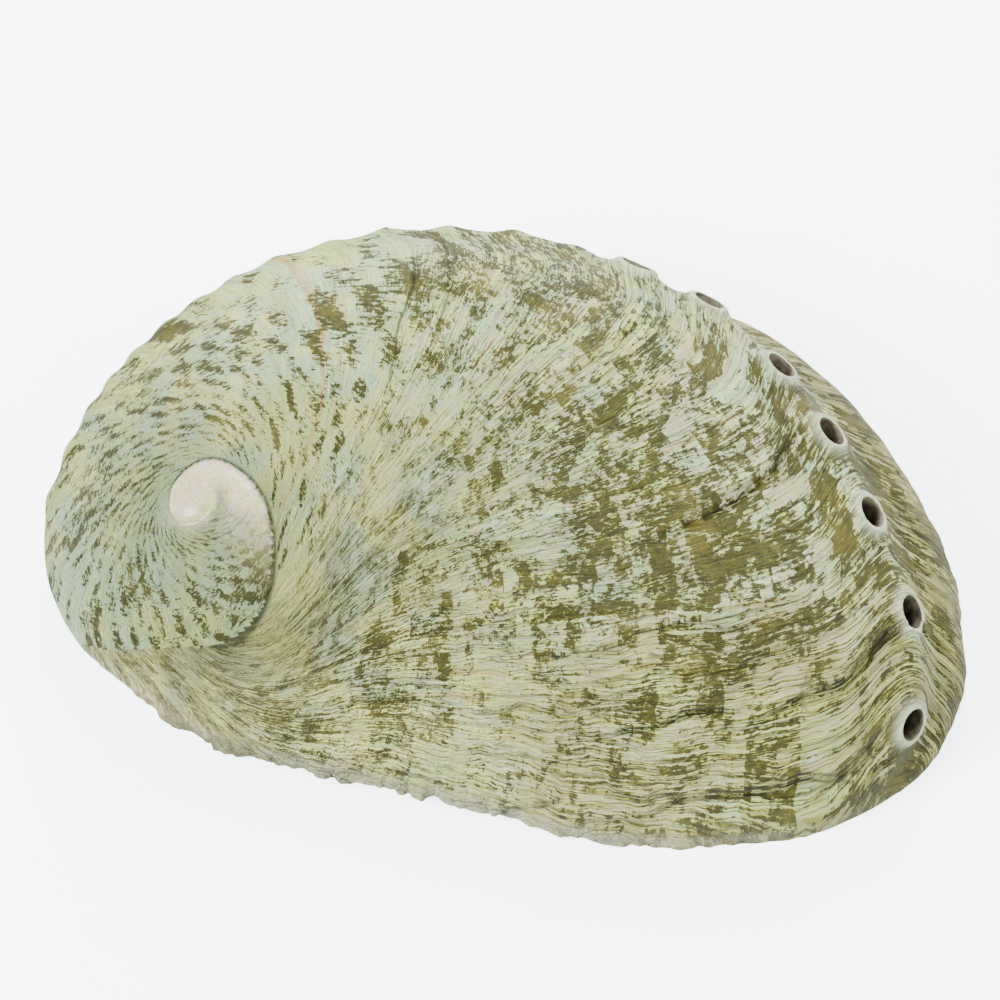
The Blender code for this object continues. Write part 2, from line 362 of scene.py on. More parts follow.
@dataclass(frozen=True)
class Growth:
    """Coordinates along the shell's growth: the growth line and the cord through a place."""

    spire: Spire = field(default_factory=Spire)
    near_sweep: float = 62.0
    far_sweep: float = 53.0
    fan: float = 24.0
    fan_cords: tuple[float, float] = (0.06, 0.92)
    fan_lines: tuple[float, float] = (6.0, 46.0)
    hook: float = 4.0
    hook_inner: float = 0.040
    hook_outer: float = 0.032

    def flow(self, x: np.ndarray, y: np.ndarray, whorl: np.ndarray) -> tuple[np.ndarray, np.ndarray]:
        """Return the growth line, in degrees at the keel, and the cord, 0 at crease, 1 at keel.

        Args:
            x: Places along the shell.
            y: Places across the shell.
            whorl: Unwound direction near each place, which settles its whorl.

        Returns:
            Growth line and cord of each place.
        """
        distance, direction = self.spire.polar(x, y)
        turn = whorl + (direction - whorl + 180.0) % FULL_TURN - 180.0
        crease = np.log(self.spire.radius(self.spire.suture, turn))
        keel = np.log(self.spire.radius(self.spire.keel, turn))
        cord = (np.log(np.maximum(distance, 1e-5)) - crease) / (keel - crease)
        short = 1.0 - np.clip(cord, -0.2, 1.6)
        line = turn + self.near_sweep * short + self.far_sweep * np.maximum(short, 0.0) ** 3
        late = 1.0 - smoothstep(*self.fan_lines, line)
        line = line - self.fan * late * (1.0 - smoothstep(*self.fan_cords, cord))
        width = np.where(cord < 1.0, self.hook_inner, self.hook_outer)
        return line - self.hook * np.exp(-(((cord - 1.0) / width) ** 2)), cord


@dataclass(frozen=True)
class Keel:
    """The rounded ridge that carries the holes, as shares of the way from crest to rim."""

    shares: tuple[float, ...] = (
        0.566, 0.567, 0.598, 0.652, 0.685, 0.678, 0.668, 0.664, 0.665, 0.690, 0.735, 0.800,
        0.860, 0.920, 0.970, 1.050, 1.050, 1.050, 1.050, 1.050, 1.050, 0.935, 0.740, 0.590,
    )
    start: tuple[float, float] = (-45.0, -31.0)
    end: tuple[float, float] = (165.0, 195.0)
    run: float = 0.048
    height: float = 0.0006
    width: float = 0.0024
    gutter_depth: float = 0.0009
    gutter_width: float = 0.0028
    gutter_offset: float = 0.0056
    gutter_fade: tuple[float, float] = (0.90, 1.00)

    def relief(self, u: np.ndarray, v: np.ndarray) -> np.ndarray:
        """Work out the ridge and the shallow gutter outside it.

        Args:
            u: Disc coordinate along the shell.
            v: Disc coordinate across the shell.

        Returns:
            The height of each place over the dome.
        """
        angle = np.arctan2(v, u)
        degrees = (np.degrees(angle) + 90.0) % FULL_TURN - 90.0
        share = smoothstep(*self.start, degrees) * (1.0 - smoothstep(*self.end, degrees))
        offset = (np.hypot(u, v) - ring_value(self.shares, angle)) * self.run
        ridge = self.height * np.exp(-((offset / self.width) ** 2))
        outside = (offset - self.gutter_offset) / self.gutter_width
        gutter = self.gutter_depth * np.exp(-(outside**2))
        rim_fade = 1.0 - smoothstep(*self.gutter_fade, np.hypot(u, v))
        return (ridge - gutter * rim_fade) * share

    def place(self, degrees: float) -> tuple[np.ndarray, np.ndarray]:
        """Return the disc coordinates of a place on the keel."""
        angle = math.radians(degrees)
        share = float(ring_value(self.shares, np.array(angle)))
        return np.array(share * math.cos(angle)), np.array(share * math.sin(angle))


@dataclass(frozen=True)
class Hole:
    """One breathing hole on the keel, open or grown shut."""

    centre: np.ndarray
    ahead: np.ndarray
    outward: np.ndarray

    @property
    def across(self) -> np.ndarray:
        """Direction across the keel, along the shell's face."""
        side = np.cross(self.outward, self.ahead)
        return side / np.linalg.norm(side)

    def offsets(self, points: np.ndarray) -> tuple[np.ndarray, np.ndarray, np.ndarray]:
        """Measure points from the hole.

        Args:
            points: The points.

        Returns:
            Distances along the keel, across it and out of the face.
        """
        gap = points - self.centre
        along = np.cross(self.across, self.outward)
        return gap @ along, gap @ self.across, gap @ self.outward


@dataclass(frozen=True)
class Holes:
    """The row of holes along the keel: seven open, the older ones grown shut."""

    dome: Dome
    keel: Keel
    opened: tuple[float, ...] = (50.5, 34.0, 15.5, 1.8, -11.3, -22.6, -32.9)
    closed: tuple[float, ...] = (
        63.0, 76.0, 89.0, 101.0, 112.0, 122.0, 130.0, 137.0, 143.0, 149.0, 154.0, 159.0, 165.0, 172.0,
    )
    length: float = 0.0033
    width: float = 0.0025
    sides: int = 40
    reach: float = 0.0080
    mound_height: float = 0.0008
    mound_radius: float = 0.0026
    collar_height: float = 0.00042
    collar_width: float = 0.00042
    collar_offset: float = 0.6
    knob_height: float = 0.00045
    knob_radius: float = 0.0015

    def hole(self, direction: float) -> Hole:
        """Find a hole's centre and its axes on the face.

        Args:
            direction: Direction about the crest, in degrees.

        Returns:
            The hole.
        """
        u, v = self.keel.place(direction)
        back = self.dome.place(*self.keel.place(direction + 1.0))
        front = self.dome.place(*self.keel.place(direction - 1.0))
        ahead = front - back
        return Hole(self.dome.place(u, v), ahead / np.linalg.norm(ahead), self.dome.normals(u, v))

    def oval(self, hole: Hole, points: np.ndarray) -> np.ndarray:
        """Measure how far points lie outside a hole's oval.

        Args:
            hole: The hole.
            points: The points.

        Returns:
            Distances in metres, below 0 inside the oval.
        """
        along, across, _ = hole.offsets(points)
        share = np.hypot(along / (self.length / 2.0), across / (self.width / 2.0))
        return (share - 1.0) * self.width / 2.0

    def relief(self, points: np.ndarray) -> np.ndarray:
        """Work out the mounds, the holes' collars and the closed knobs.

        Args:
            points: Points of the outer dome.

        Returns:
            The height of each point over the dome.
        """
        relief = np.zeros(points.shape[:-1])
        for direction in self.opened:
            hole = self.hole(direction)
            squared = ((points - hole.centre) ** 2).sum(axis=-1)
            mound = self.mound_height * np.exp(-squared / self.mound_radius**2)
            edge = self.oval(hole, points) / self.collar_width - self.collar_offset
            collar = self.collar_height * np.exp(-(edge**2)) * (squared < self.mound_radius**2 * 4.0)
            relief = np.maximum(relief, mound + collar)
        for direction in self.closed:
            squared = ((points - self.hole(direction).centre) ** 2).sum(axis=-1)
            relief = np.maximum(relief, self.knob_height * np.exp(-squared / self.knob_radius**2))
        return relief

    def cutter(self, shift: Vector) -> bpy.types.Object:
        """Make the seven oval rods that open the holes, as one object.

        Args:
            shift: Move from the dome's own place to its place in the frame.

        Returns:
            The cutter, which the caller removes after use.
        """
        mesh = bmesh.new()
        for direction in self.opened:
            hole = self.hole(direction)
            along = Vector(np.cross(hole.across, hole.outward))
            turn = Matrix((along, Vector(hole.across), Vector(hole.outward))).transposed().to_4x4()
            made = bmesh.ops.create_cone(
                mesh, cap_ends=True, segments=self.sides, radius1=0.5, radius2=0.5, depth=1.0
            )
            bmesh.ops.scale(mesh, vec=(self.length, self.width, self.reach), verts=made["verts"])
            place = Matrix.Translation(Vector(hole.centre) + shift) @ turn
            bmesh.ops.transform(mesh, matrix=place, verts=made["verts"])
        return new_object("hole_rods", close_mesh("hole_rods", mesh))


@dataclass(frozen=True)
class Ledge:
    """One broken edge of an old growth layer, which runs from an inner to an outer cord."""

    inner_line: float
    outer_line: float
    inner_cord: float
    outer_cord: float
    drop: float

    def behind(self, line: np.ndarray, cord: np.ndarray) -> np.ndarray:
        """Return how far places lie behind the edge, in degrees of growth."""
        share = np.clip((cord - self.inner_cord) / (self.outer_cord - self.inner_cord), -0.2, 1.2)
        return line - self.inner_line - (self.outer_line - self.inner_line) * share

    def strength(self, cord: np.ndarray) -> np.ndarray:
        """Return 1 along the ledge and 0 past its ends."""
        ends = 0.25 * (self.outer_cord - self.inner_cord)
        start = smoothstep(self.inner_cord - 0.3 * ends, self.inner_cord + ends, cord)
        return start * (1.0 - smoothstep(self.outer_cord - ends, self.outer_cord + 0.3 * ends, cord))


@dataclass(frozen=True)
class Sculpture:
    """Relief that growth left on the outer face: layers, broken ledges, cords and lumps."""

    growth: Growth
    ledges: tuple[Ledge, ...] = (
        Ledge(25.0, 24.1, 0.80, 0.95, 0.00045),
        Ledge(-0.3, 4.2, 0.80, 0.985, 0.00065),
        Ledge(4.2, 1.2, 0.58, 0.76, 0.00030),
        Ledge(-10.9, -10.6, 0.74, 0.91, 0.00035),
        Ledge(-19.1, -18.3, 0.70, 0.89, 0.00050),
        Ledge(-24.8, -22.0, 0.79, 0.98, 0.00055),
        Ledge(-18.9, -17.2, 0.88, 1.03, 0.00045),
        Ledge(-11.3, -11.5, 0.67, 0.80, 0.00035),
        Ledge(-17.7, -16.3, 0.56, 0.72, 0.00040),
        Ledge(53.0, 54.0, 0.10, 1.04, 0.00028),
        Ledge(46.5, 50.5, 0.70, 1.00, 0.00022),
        Ledge(-17.9, -14.8, 0.33, 0.52, 0.00030),
        Ledge(-29.0, -24.3, 0.55, 0.72, 0.00035),
    )
    layer_degrees: float = 2.3
    layer_height: float = 0.00024
    least_layer: float = 0.35
    early_layer: float = 0.25
    step_share: float = 0.16
    waver_broad: float = 0.9
    waver_fine: float = 0.35
    jag: float = 0.35
    rough_lines: tuple[float, float] = (5.0, 75.0)
    ledge_run: float = 3.0
    gap_depth: float = 0.7
    gap_run: float = 0.7
    shade_range: tuple[float, float] = (0.6, 1.0)
    cord_zone: tuple[float, float] = (0.15, 0.6)
    early_lumps: float = 0.35
    cord_count: float = 50.0
    cord_height: float = 0.00004
    lump_size: float = 0.0055
    lump_height: float = 0.00016
    # The next two place the painted shadow under the ledges: its start behind the edge, and the drop that
    # makes it full.
    shade_offset: float = 0.16
    full_shade_drop: float = 0.0003
    grit_size: float = 0.0011
    grit_height: float = 0.00005
    noise: Roughcast = field(default_factory=lambda: Roughcast(7))

    def warp(self, line: np.ndarray, cord: np.ndarray) -> np.ndarray:
        """Make the growth lines waver as they cross the cords."""
        broad = self.waver_broad * self.noise.sample(line * 0.12 + 31.0, cord * 7.0)
        fine = self.waver_fine * self.noise.sample(line * 0.4 + 77.0, cord * 26.0)
        return line + broad + fine

    def age_share(self, line: np.ndarray) -> np.ndarray:
        """Return 0 on the early, smooth whorls and 1 on the rough last quarter."""
        return 1.0 - smoothstep(*self.rough_lines, line)

    def layers(self, line: np.ndarray, cord: np.ndarray) -> np.ndarray:
        """Lay overlapping growth layers, each ending in a small step down to the next.

        Args:
            line: The growth line of each place.
            cord: The cord of each place.

        Returns:
            The height of each place.
        """
        place = self.warp(line, cord) / self.layer_degrees
        place = place + 0.8 * self.noise.sample(place * 0.6 + 5.0, np.zeros_like(place))
        layer = np.floor(place)
        share = place - layer
        unevenness = np.abs(self.noise.sample(layer * 3.7, cord * 9.0))
        height = self.least_layer + (1.0 - self.least_layer) * unevenness
        worn = self.early_layer + (1.0 - self.early_layer) * self.age_share(line)
        ramp = 1.0 - smoothstep(0.0, self.step_share, share)
        return -self.layer_height * height * ramp * worn

    def waver(self, line: np.ndarray, cord: np.ndarray) -> np.ndarray:
        """Make the broken ledges waver more than the growth lines do."""
        jagged = self.jag * self.noise.sample(cord * 40.0, line * 0.05 + 3.0)
        return self.warp(line, cord) + jagged

    def broken_ledges(self, line: np.ndarray, cord: np.ndarray) -> np.ndarray:
        """Break the few large ledges, raised behind their edge and cut sharply in front.

        Args:
            line: The growth line of each place.
            cord: The cord of each place.

        Returns:
            The height of each place.
        """
        wavering = self.waver(line, cord)
        relief = np.zeros_like(line)
        for ledge in self.ledges:
            behind = ledge.behind(wavering, cord)
            raised = np.where(behind > 0.0, np.exp(-np.maximum(behind, 0.0) / self.ledge_run), 0.0)
            fade = np.exp(-((np.minimum(behind, 0.0) / self.gap_run) ** 2))
            gap = -self.gap_depth * fade * (behind <= 0.0)
            relief = relief + ledge.drop * ledge.strength(cord) * (raised + gap)
        return relief

    def shade(self, line: np.ndarray, cord: np.ndarray) -> tuple[np.ndarray, np.ndarray]:
        """Find where the shade under the broken ledges falls.

        Args:
            line: The growth line of each place.
            cord: The cord of each place.

        Returns:
            The distance behind the nearest ledge's edge, and how near and strong that ledge is.
        """
        wavering = self.waver(line, cord)
        nearest = np.full(line.shape, 2.0)
        weight = np.zeros(line.shape)
        for ledge in self.ledges:
            behind = ledge.behind(wavering, cord) + self.shade_offset
            own = ledge.strength(cord) * (1.0 - smoothstep(*self.shade_range, np.abs(behind)))
            own = own * min(1.0, ledge.drop / self.full_shade_drop)
            closer = own > weight
            nearest = np.where(closer, behind, nearest)
            weight = np.where(closer, own, weight)
        return nearest, weight

    def cords(self, line: np.ndarray, cord: np.ndarray) -> np.ndarray:
        """Raise the low spiral ribs that the mesh can hold.

        Args:
            line: The growth line of each place.
            cord: The cord of each place.

        Returns:
            The height of each place.
        """
        wobble = 0.25 * self.noise.sample(line * 0.25, cord * 50.0)
        wave = np.cos(2.0 * math.pi * (cord * self.cord_count + wobble))
        strength = 0.6 + 0.4 * self.noise.sample(line * 0.10 + 9.0, cord * 12.0)
        near_keel = smoothstep(*self.cord_zone, cord)
        return self.cord_height * wave * strength * near_keel

    def relief(self, points: np.ndarray) -> np.ndarray:
        """Add up all that growth left on the face.

        Args:
            points: Points of the outer dome.

        Returns:
            The height of each point over the dome.
        """
        x = points[..., 0]
        y = points[..., 1]
        line, cord = self.growth.flow(x, y, self.growth.spire.unwind(x, y))
        relief = self.layers(line, cord) + self.broken_ledges(line, cord) + self.cords(line, cord)
        lumps = self.noise.sample(x / self.lump_size, y / self.lump_size)
        lumps = lumps + 0.5 * self.noise.sample(x / self.lump_size * 2.1 + 40.0, y / self.lump_size * 2.1)
        grit = self.noise.sample(x / self.grit_size, (y - points[..., 2]) / self.grit_size)
        share = self.early_lumps + (1.0 - self.early_lumps) * self.age_share(line)
        return relief + (lumps * self.lump_height + grit * self.grit_height) * share


@dataclass
class ShellPiece:
    """The whole shell as one closed mesh: outer face, hollow face, rim and holes."""

    dome: Dome = field(default_factory=Dome)
    spire: Spire = field(default_factory=Spire)
    keel: Keel = field(default_factory=Keel)
    outer_cells: int = 240
    hollow_cells: int = 120
    rim_rows: int = 3
    crest_wall: float = 0.0020
    side_wall: float = 0.0020
    lip_wall: float = 0.0013
    callus: float = 0.0021
    callus_direction: float = -158.0
    callus_spread: float = 26.0
    callus_range: tuple[float, float] = (0.30, 0.60)
    ledge: tuple[float, ...] = (
        0.0000, 0.0022, 0.0040, 0.0044, 0.0046, 0.0050, 0.0052, 0.0030, 0.0000, 0.0000, 0.0000, 0.0000,
    )
    ledge_height: float = 0.0060
    pit_fade: tuple[float, float] = (0.80, 0.97)
    relief_fade: tuple[float, float] = (0.95, 1.00)
    chip_depth: float = 0.00036
    chip_size: float = 2.6
    chip_range: tuple[float, float] = (0.80, 1.00)
    fine_chips: float = 0.6
    even_wear: float = 0.35
    newest_wear: float = 0.7
    newest_margin: float = -8.0
    newest_spread: float = 30.0
    near_hole: float = 0.0034
    spire_zone: float = 0.0075
    pearl_range: tuple[float, float] = (292.0, 350.0)
    pearl_cords: tuple[float, float] = (0.02, 0.55)
    pearl_whorl: tuple[float, float] = (352.0, 385.0)
    pearl_reach: float = 0.0130
    pearl_core: tuple[float, float] = (0.0019, 0.0034)
    foot_zone: float = 0.0060
    collar_zone: float = 0.00058
    edge_zone: float = 0.0026
    scar_height: float = 0.00015
    scar_place: tuple[float, float] = (0.12, 0.05)
    scar_range: tuple[float, float] = (0.30, 0.40)
    ripple_size: float = 0.004
    ripple_height: float = 0.3
    hole_quiet: float = 0.8

    def __post_init__(self) -> None:
        """Set up the parts of the form that depend on the dome, the spire and the keel."""
        self.growth = Growth(self.spire)
        self.holes = Holes(self.dome, self.keel)
        self.sculpture = Sculpture(self.growth)
        self.noise = Roughcast(19)

    def outer_surface(self, u: np.ndarray, v: np.ndarray) -> np.ndarray:
        """Place disc points on the outer face, with all its relief and its chipped lip.

        Args:
            u: Disc coordinate along the shell.
            v: Disc coordinate across the shell.

        Returns:
            Points, one row of x, y and z for each disc point.
        """
        points = self.dome.place(u, v)
        normals = self.dome.normals(u, v)
        share = np.hypot(u, v)
        angle = np.arctan2(v, u)
        form = self.spire.relief(points[..., 0], points[..., 1]) + self.keel.relief(u, v)
        form = form + self.holes.relief(points)
        rim_fade = 1.0 - smoothstep(*self.relief_fade, share)
        quiet = np.exp(-np.maximum(self.hole_gap(points), 0.0) / self.collar_zone)
        carved = self.sculpture.relief(points) * (1.0 - self.hole_quiet * quiet)
        carved = carved * np.maximum(rim_fade, self.dome.lip_share(angle))
        points = points + normals * (form * rim_fade + carved)[..., None]
        return self.chip_lip(points, share, angle)

    def chip_lip(self, points: np.ndarray, share: np.ndarray, angle: np.ndarray) -> np.ndarray:
        """Wear the thin lip back unevenly and keep everything on or above the table.

        Args:
            points: Points of a face, which are moved in place.
            share: Their way from crest to rim.
            angle: Their direction about the crest, in radians.

        Returns:
            The moved points.
        """
        degrees = signed_degrees(angle)
        wear = self.noise.sample(degrees / self.chip_size, np.zeros_like(degrees))
        finer = self.noise.sample(degrees / self.chip_size * 2.7, np.ones_like(degrees) * 9.0)
        wear = wear + self.fine_chips * finer + self.even_wear
        spread = (degrees - self.newest_margin) / self.newest_spread
        newest = self.newest_wear * np.exp(-(spread**2))
        worn = np.maximum(self.dome.lip_share(angle), newest)
        depth = self.chip_depth * wear * smoothstep(*self.chip_range, share) * worn
        points[..., 0] -= depth * np.cos(angle)
        points[..., 1] -= depth * np.sin(angle)
        points[..., 2] = np.maximum(points[..., 2], 0.0)
        return points

    def hollow_surface(self, u: np.ndarray, v: np.ndarray) -> np.ndarray:
        """Place disc points on the hollow face, with its ledge, spire pit and muscle scar.

        Args:
            u: Disc coordinate along the shell.
            v: Disc coordinate across the shell.

        Returns:
            Points, one row of x, y and z for each disc point.
        """
        angle = np.arctan2(v, u)
        share = np.hypot(u, v)
        side = self.side_wall + (self.lip_wall - self.side_wall) * self.dome.lip_share(angle)
        spread = (signed_degrees(angle) - self.callus_direction) / self.callus_spread
        side = side + self.callus * np.exp(-(spread**2)) * smoothstep(*self.callus_range, share)
        ledge = ring_value(self.ledge, angle)
        points = self.dome.place(u, v, side, self.crest_wall, ledge, self.ledge_height)
        fade = 1.0 - smoothstep(*self.pit_fade, share)
        points[..., 2] += self.spire.relief(points[..., 0], points[..., 1]) * fade
        ripple = self.noise.sample(points[..., 0] / self.ripple_size, points[..., 1] / self.ripple_size)
        away = np.hypot(u - self.scar_place[0], v - self.scar_place[1]) + 0.05 * ripple
        scar = 1.0 - smoothstep(*self.scar_range, away)
        ripples = self.ripple_height * ripple * (self.ripple_height + scar)
        points[..., 2] += (scar + ripples) * self.scar_height * fade
        return self.chip_lip(points, share, angle)

    def hole_gap(self, points: np.ndarray) -> np.ndarray:
        """Measure points from the nearest open hole's edge.

        Args:
            points: Points of the outer dome.

        Returns:
            Distances in metres, below 0 in a hole.
        """
        gap = np.full(points.shape[:-1], 1.0)
        for direction in self.holes.opened:
            hole = self.holes.hole(direction)
            near = np.linalg.norm(points - hole.centre, axis=-1) < 2.0 * self.near_hole
            gap = np.where(near, np.minimum(gap, self.holes.oval(hole, points)), gap)
        return gap

    @staticmethod
    def disc(vertices: list[bmesh.types.BMVert]) -> tuple[np.ndarray, np.ndarray]:
        """Map the grid's square onto the unit disc.

        Args:
            vertices: The grid's vertices.

        Returns:
            The disc coordinates of each vertex.
        """
        square = np.array([vertex.co[:2] for vertex in vertices])
        u = square[:, 0] * np.sqrt(1.0 - square[:, 1] ** 2 / 2.0)
        v = square[:, 1] * np.sqrt(1.0 - square[:, 0] ** 2 / 2.0)
        return u, v

    def refine(self, mesh: bmesh.types.BMesh) -> None:
        """Split the grid's cells round the holes and over the spire, where detail is finest.

        Args:
            mesh: The mesh that holds the grid.
        """
        for reach in (self.near_hole, 0.7 * self.near_hole):
            vertices = list(mesh.verts)
            points = self.dome.place(*self.disc(vertices))
            wanted = np.zeros(len(vertices), dtype=bool)
            for direction in self.holes.opened:
                wanted |= np.linalg.norm(points - self.holes.hole(direction).centre, axis=-1) < reach
            if reach == self.near_hole:
                distance, _ = self.spire.polar(points[:, 0], points[:, 1])
                wanted |= distance < self.spire_zone
            picked = {vertex for vertex, want in zip(vertices, wanted) if want}
            edges = [edge for edge in mesh.edges if edge.verts[0] in picked and edge.verts[1] in picked]
            bmesh.ops.subdivide_edges(mesh, edges=edges, cuts=1, use_grid_fill=True)

    def add_outer(self, mesh: bmesh.types.BMesh) -> list[bmesh.types.BMEdge]:
        """Add the outer face to a mesh.

        Args:
            mesh: The mesh.

        Returns:
            The edges of its rim.
        """
        bmesh.ops.create_grid(mesh, x_segments=self.outer_cells, y_segments=self.outer_cells, size=1.0)
        self.refine(mesh)
        vertices = list(mesh.verts)
        for vertex, place in zip(vertices, self.outer_surface(*self.disc(vertices))):
            vertex.co = place
        for face in mesh.faces:
            face.material_index = Slot.OUTER.value
        return [edge for edge in mesh.edges if edge.is_boundary]

    def add_hollow(self, mesh: bmesh.types.BMesh) -> list[bmesh.types.BMEdge]:
        """Add the hollow face, turned inwards.

        Args:
            mesh: The mesh.

        Returns:
            The edges of its rim.
        """
        before = set(mesh.faces)
        made = bmesh.ops.create_grid(
            mesh, x_segments=self.hollow_cells, y_segments=self.hollow_cells, size=1.0
        )
        for vertex, place in zip(made["verts"], self.hollow_surface(*self.disc(made["verts"]))):
            vertex.co = place
        faces = [face for face in mesh.faces if face not in before]
        for face in faces:
            face.material_index = Slot.HOLLOW.value
        bmesh.ops.reverse_faces(mesh, faces=faces)
        own = set(made["verts"])
        return [edge for edge in mesh.edges if edge.is_boundary and edge.verts[0] in own]

    def add_rim(
        self,
        mesh: bmesh.types.BMesh,
        outer_rim: list[bmesh.types.BMEdge],
        hollow_rim: list[bmesh.types.BMEdge],
    ) -> None:
        """Join both faces along the lip and the flat ledge.

        Args:
            mesh: The mesh that holds both faces.
            outer_rim: The outer face's rim.
            hollow_rim: The hollow face's rim.
        """
        band = bmesh.ops.bridge_loops(mesh, edges=outer_rim + hollow_rim)["faces"]
        for face in band:
            face.material_index = Slot.EDGE.value
        rims = set(outer_rim) | set(hollow_rim)
        across = list({edge for face in band for edge in face.edges if edge not in rims})
        bmesh.ops.subdivide_edges(mesh, edges=across, cuts=self.rim_rows, use_grid_fill=True)

    def centre(self, data: bpy.types.Mesh) -> Vector:
        """Move the mesh so that its box stands where the solid's box stands.

        Args:
            data: The mesh.

        Returns:
            The move.
        """
        low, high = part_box(NODE)
        corners = self.vertex_points(data)
        middle = (corners.min(axis=0) + corners.max(axis=0)) / 2.0
        shift = (low + high) / 2.0 - Vector(middle)
        shift.z = low.z - float(corners[:, 2].min())
        data.transform(Matrix.Translation(shift))
        return shift

    def build(self) -> bpy.types.Object:
        """Build the closed mesh, open its holes and give it its pattern coordinates.

        Returns:
            The shell.
        """
        mesh = bmesh.new()
        outer_rim = self.add_outer(mesh)
        hollow_rim = self.add_hollow(mesh)
        self.add_rim(mesh, outer_rim, hollow_rim)
        bmesh.ops.recalc_face_normals(mesh, faces=mesh.faces)
        data = close_mesh("abalone_shell", mesh)
        shift = self.centre(data)
        piece = new_object("abalone_shell", data)
        for _ in Slot:
            data.materials.append(None)
        self.open_holes(piece, shift)
        self.add_flow_map(piece.data, shift)
        self.add_zones(piece.data, shift)
        piece.data.shade_smooth()
        return piece

    def open_holes(self, piece: bpy.types.Object, shift: Vector) -> None:
        """Cut the seven open holes through the wall.

        Args:
            piece: The shell.
            shift: Move from the dome's own place to its place in the frame.
        """
        rods = self.holes.cutter(shift)
        for _ in Slot:
            rods.data.materials.append(None)
        for face in rods.data.polygons:
            face.material_index = Slot.BORE.value
        cut = piece.modifiers.new("Open holes", "BOOLEAN")
        cut.operation = "DIFFERENCE"
        cut.solver = "EXACT"
        cut.object = rods
        evaluated = piece.evaluated_get(bpy.context.evaluated_depsgraph_get())
        data = bpy.data.meshes.new_from_object(evaluated)
        piece.modifiers.clear()
        piece.data = data
        bpy.data.objects.remove(rods, do_unlink=True)

    def add_flow_map(self, data: bpy.types.Mesh, shift: Vector) -> None:
        """Store each face corner's growth line and cord as the UV map named flow.

        Args:
            data: Mesh that gets the map.
            shift: Move from the dome's own place to its place in the frame.
        """
        corner_points, centres = self.corner_points(data, shift)
        whorl = np.repeat(self.spire.unwind(centres[:, 0], centres[:, 1]), self.corner_counts(data))
        line, cord = self.growth.flow(corner_points[:, 0], corner_points[:, 1], whorl)
        layer = data.uv_layers.new(name="flow")
        flow = np.stack([line / FLOW_SCALE, cord], axis=-1).astype(np.float32)
        layer.uv.foreach_set("vector", flow.ravel())

    @staticmethod
    def corner_counts(data: bpy.types.Mesh) -> np.ndarray:
        """Return the number of corners of each face."""
        counts = np.empty(len(data.polygons), dtype=np.int32)
        data.polygons.foreach_get("loop_total", counts)
        return counts

    @staticmethod
    def vertex_points(data: bpy.types.Mesh) -> np.ndarray:
        """Return the place of each vertex."""
        points = np.empty(len(data.vertices) * 3)
        data.vertices.foreach_get("co", points)
        return points.reshape(-1, 3)

    def corner_points(self, data: bpy.types.Mesh, shift: Vector) -> tuple[np.ndarray, np.ndarray]:
        """Find the places at which the flow map is worked out.

        Args:
            data: The shell's mesh.
            shift: Move from the dome's own place to its place in the frame.

        Returns:
            The place of each face corner and of each face centre, about the crest.
        """
        points = self.vertex_points(data) - np.array(shift)
        index = np.empty(len(data.loops), dtype=np.int32)
        data.loops.foreach_get("vertex_index", index)
        centres = np.empty(len(data.polygons) * 3)
        data.polygons.foreach_get("center", centres)
        return points[index], centres.reshape(-1, 3) - np.array(shift)

    def add_zones(self, data: bpy.types.Mesh, shift: Vector) -> None:
        """Store the pearly spire, the hole collars, the worn edge and the foot, and where the painted
        ledge shadows fall.

        Args:
            data: Mesh that gets two colour attributes: the zones, and where the painted shadow under the
                ledges falls.
            shift: Move from the dome's own place to its place in the frame.
        """
        points = self.vertex_points(data) - np.array(shift)
        distance, _ = self.spire.polar(points[:, 0], points[:, 1])
        whorl = self.spire.unwind(points[:, 0], points[:, 1])
        line, cord = self.growth.flow(points[:, 0], points[:, 1], whorl)
        inner = np.maximum(smoothstep(*self.pearl_cords, cord), smoothstep(*self.pearl_whorl, whorl))
        pearl = smoothstep(*self.pearl_range, whorl) * inner * (distance < self.pearl_reach)
        pearl = np.maximum(pearl, 1.0 - smoothstep(*self.pearl_core, distance))
        gap = np.maximum(self.hole_gap(points), 0.0)
        collar = np.exp(-((gap / self.collar_zone) ** 2))
        lip = self.dome.lip_share(np.arctan2(points[:, 1], points[:, 0]))
        height = self.rim_gap(points)
        edge = (1.0 - smoothstep(0.4 * self.edge_zone, self.edge_zone, height)) * lip
        foot = 1.0 - smoothstep(0.0, self.foot_zone, height)
        behind, weight = self.sculpture.shade(line, cord)
        blank = np.zeros_like(behind)
        # The second attribute holds where the painted shadow under the broken ledges falls.
        kinds = {"zones": (pearl, collar, edge, foot), "ledge_shade": (behind, weight, blank, blank + 1.0)}
        for name, columns in kinds.items():
            values = np.stack(columns, axis=-1).astype(np.float32)
            data.attributes.new(name, "FLOAT_COLOR", "POINT").data.foreach_set("color", values.ravel())

    def rim_gap(self, points: np.ndarray) -> np.ndarray:
        """Return the height of points above the rim below them."""
        angle = np.arctan2(points[:, 1], points[:, 0])
        rim = self.dome.place(np.cos(angle), np.sin(angle))
        return points[:, 2] - rim[:, 2]


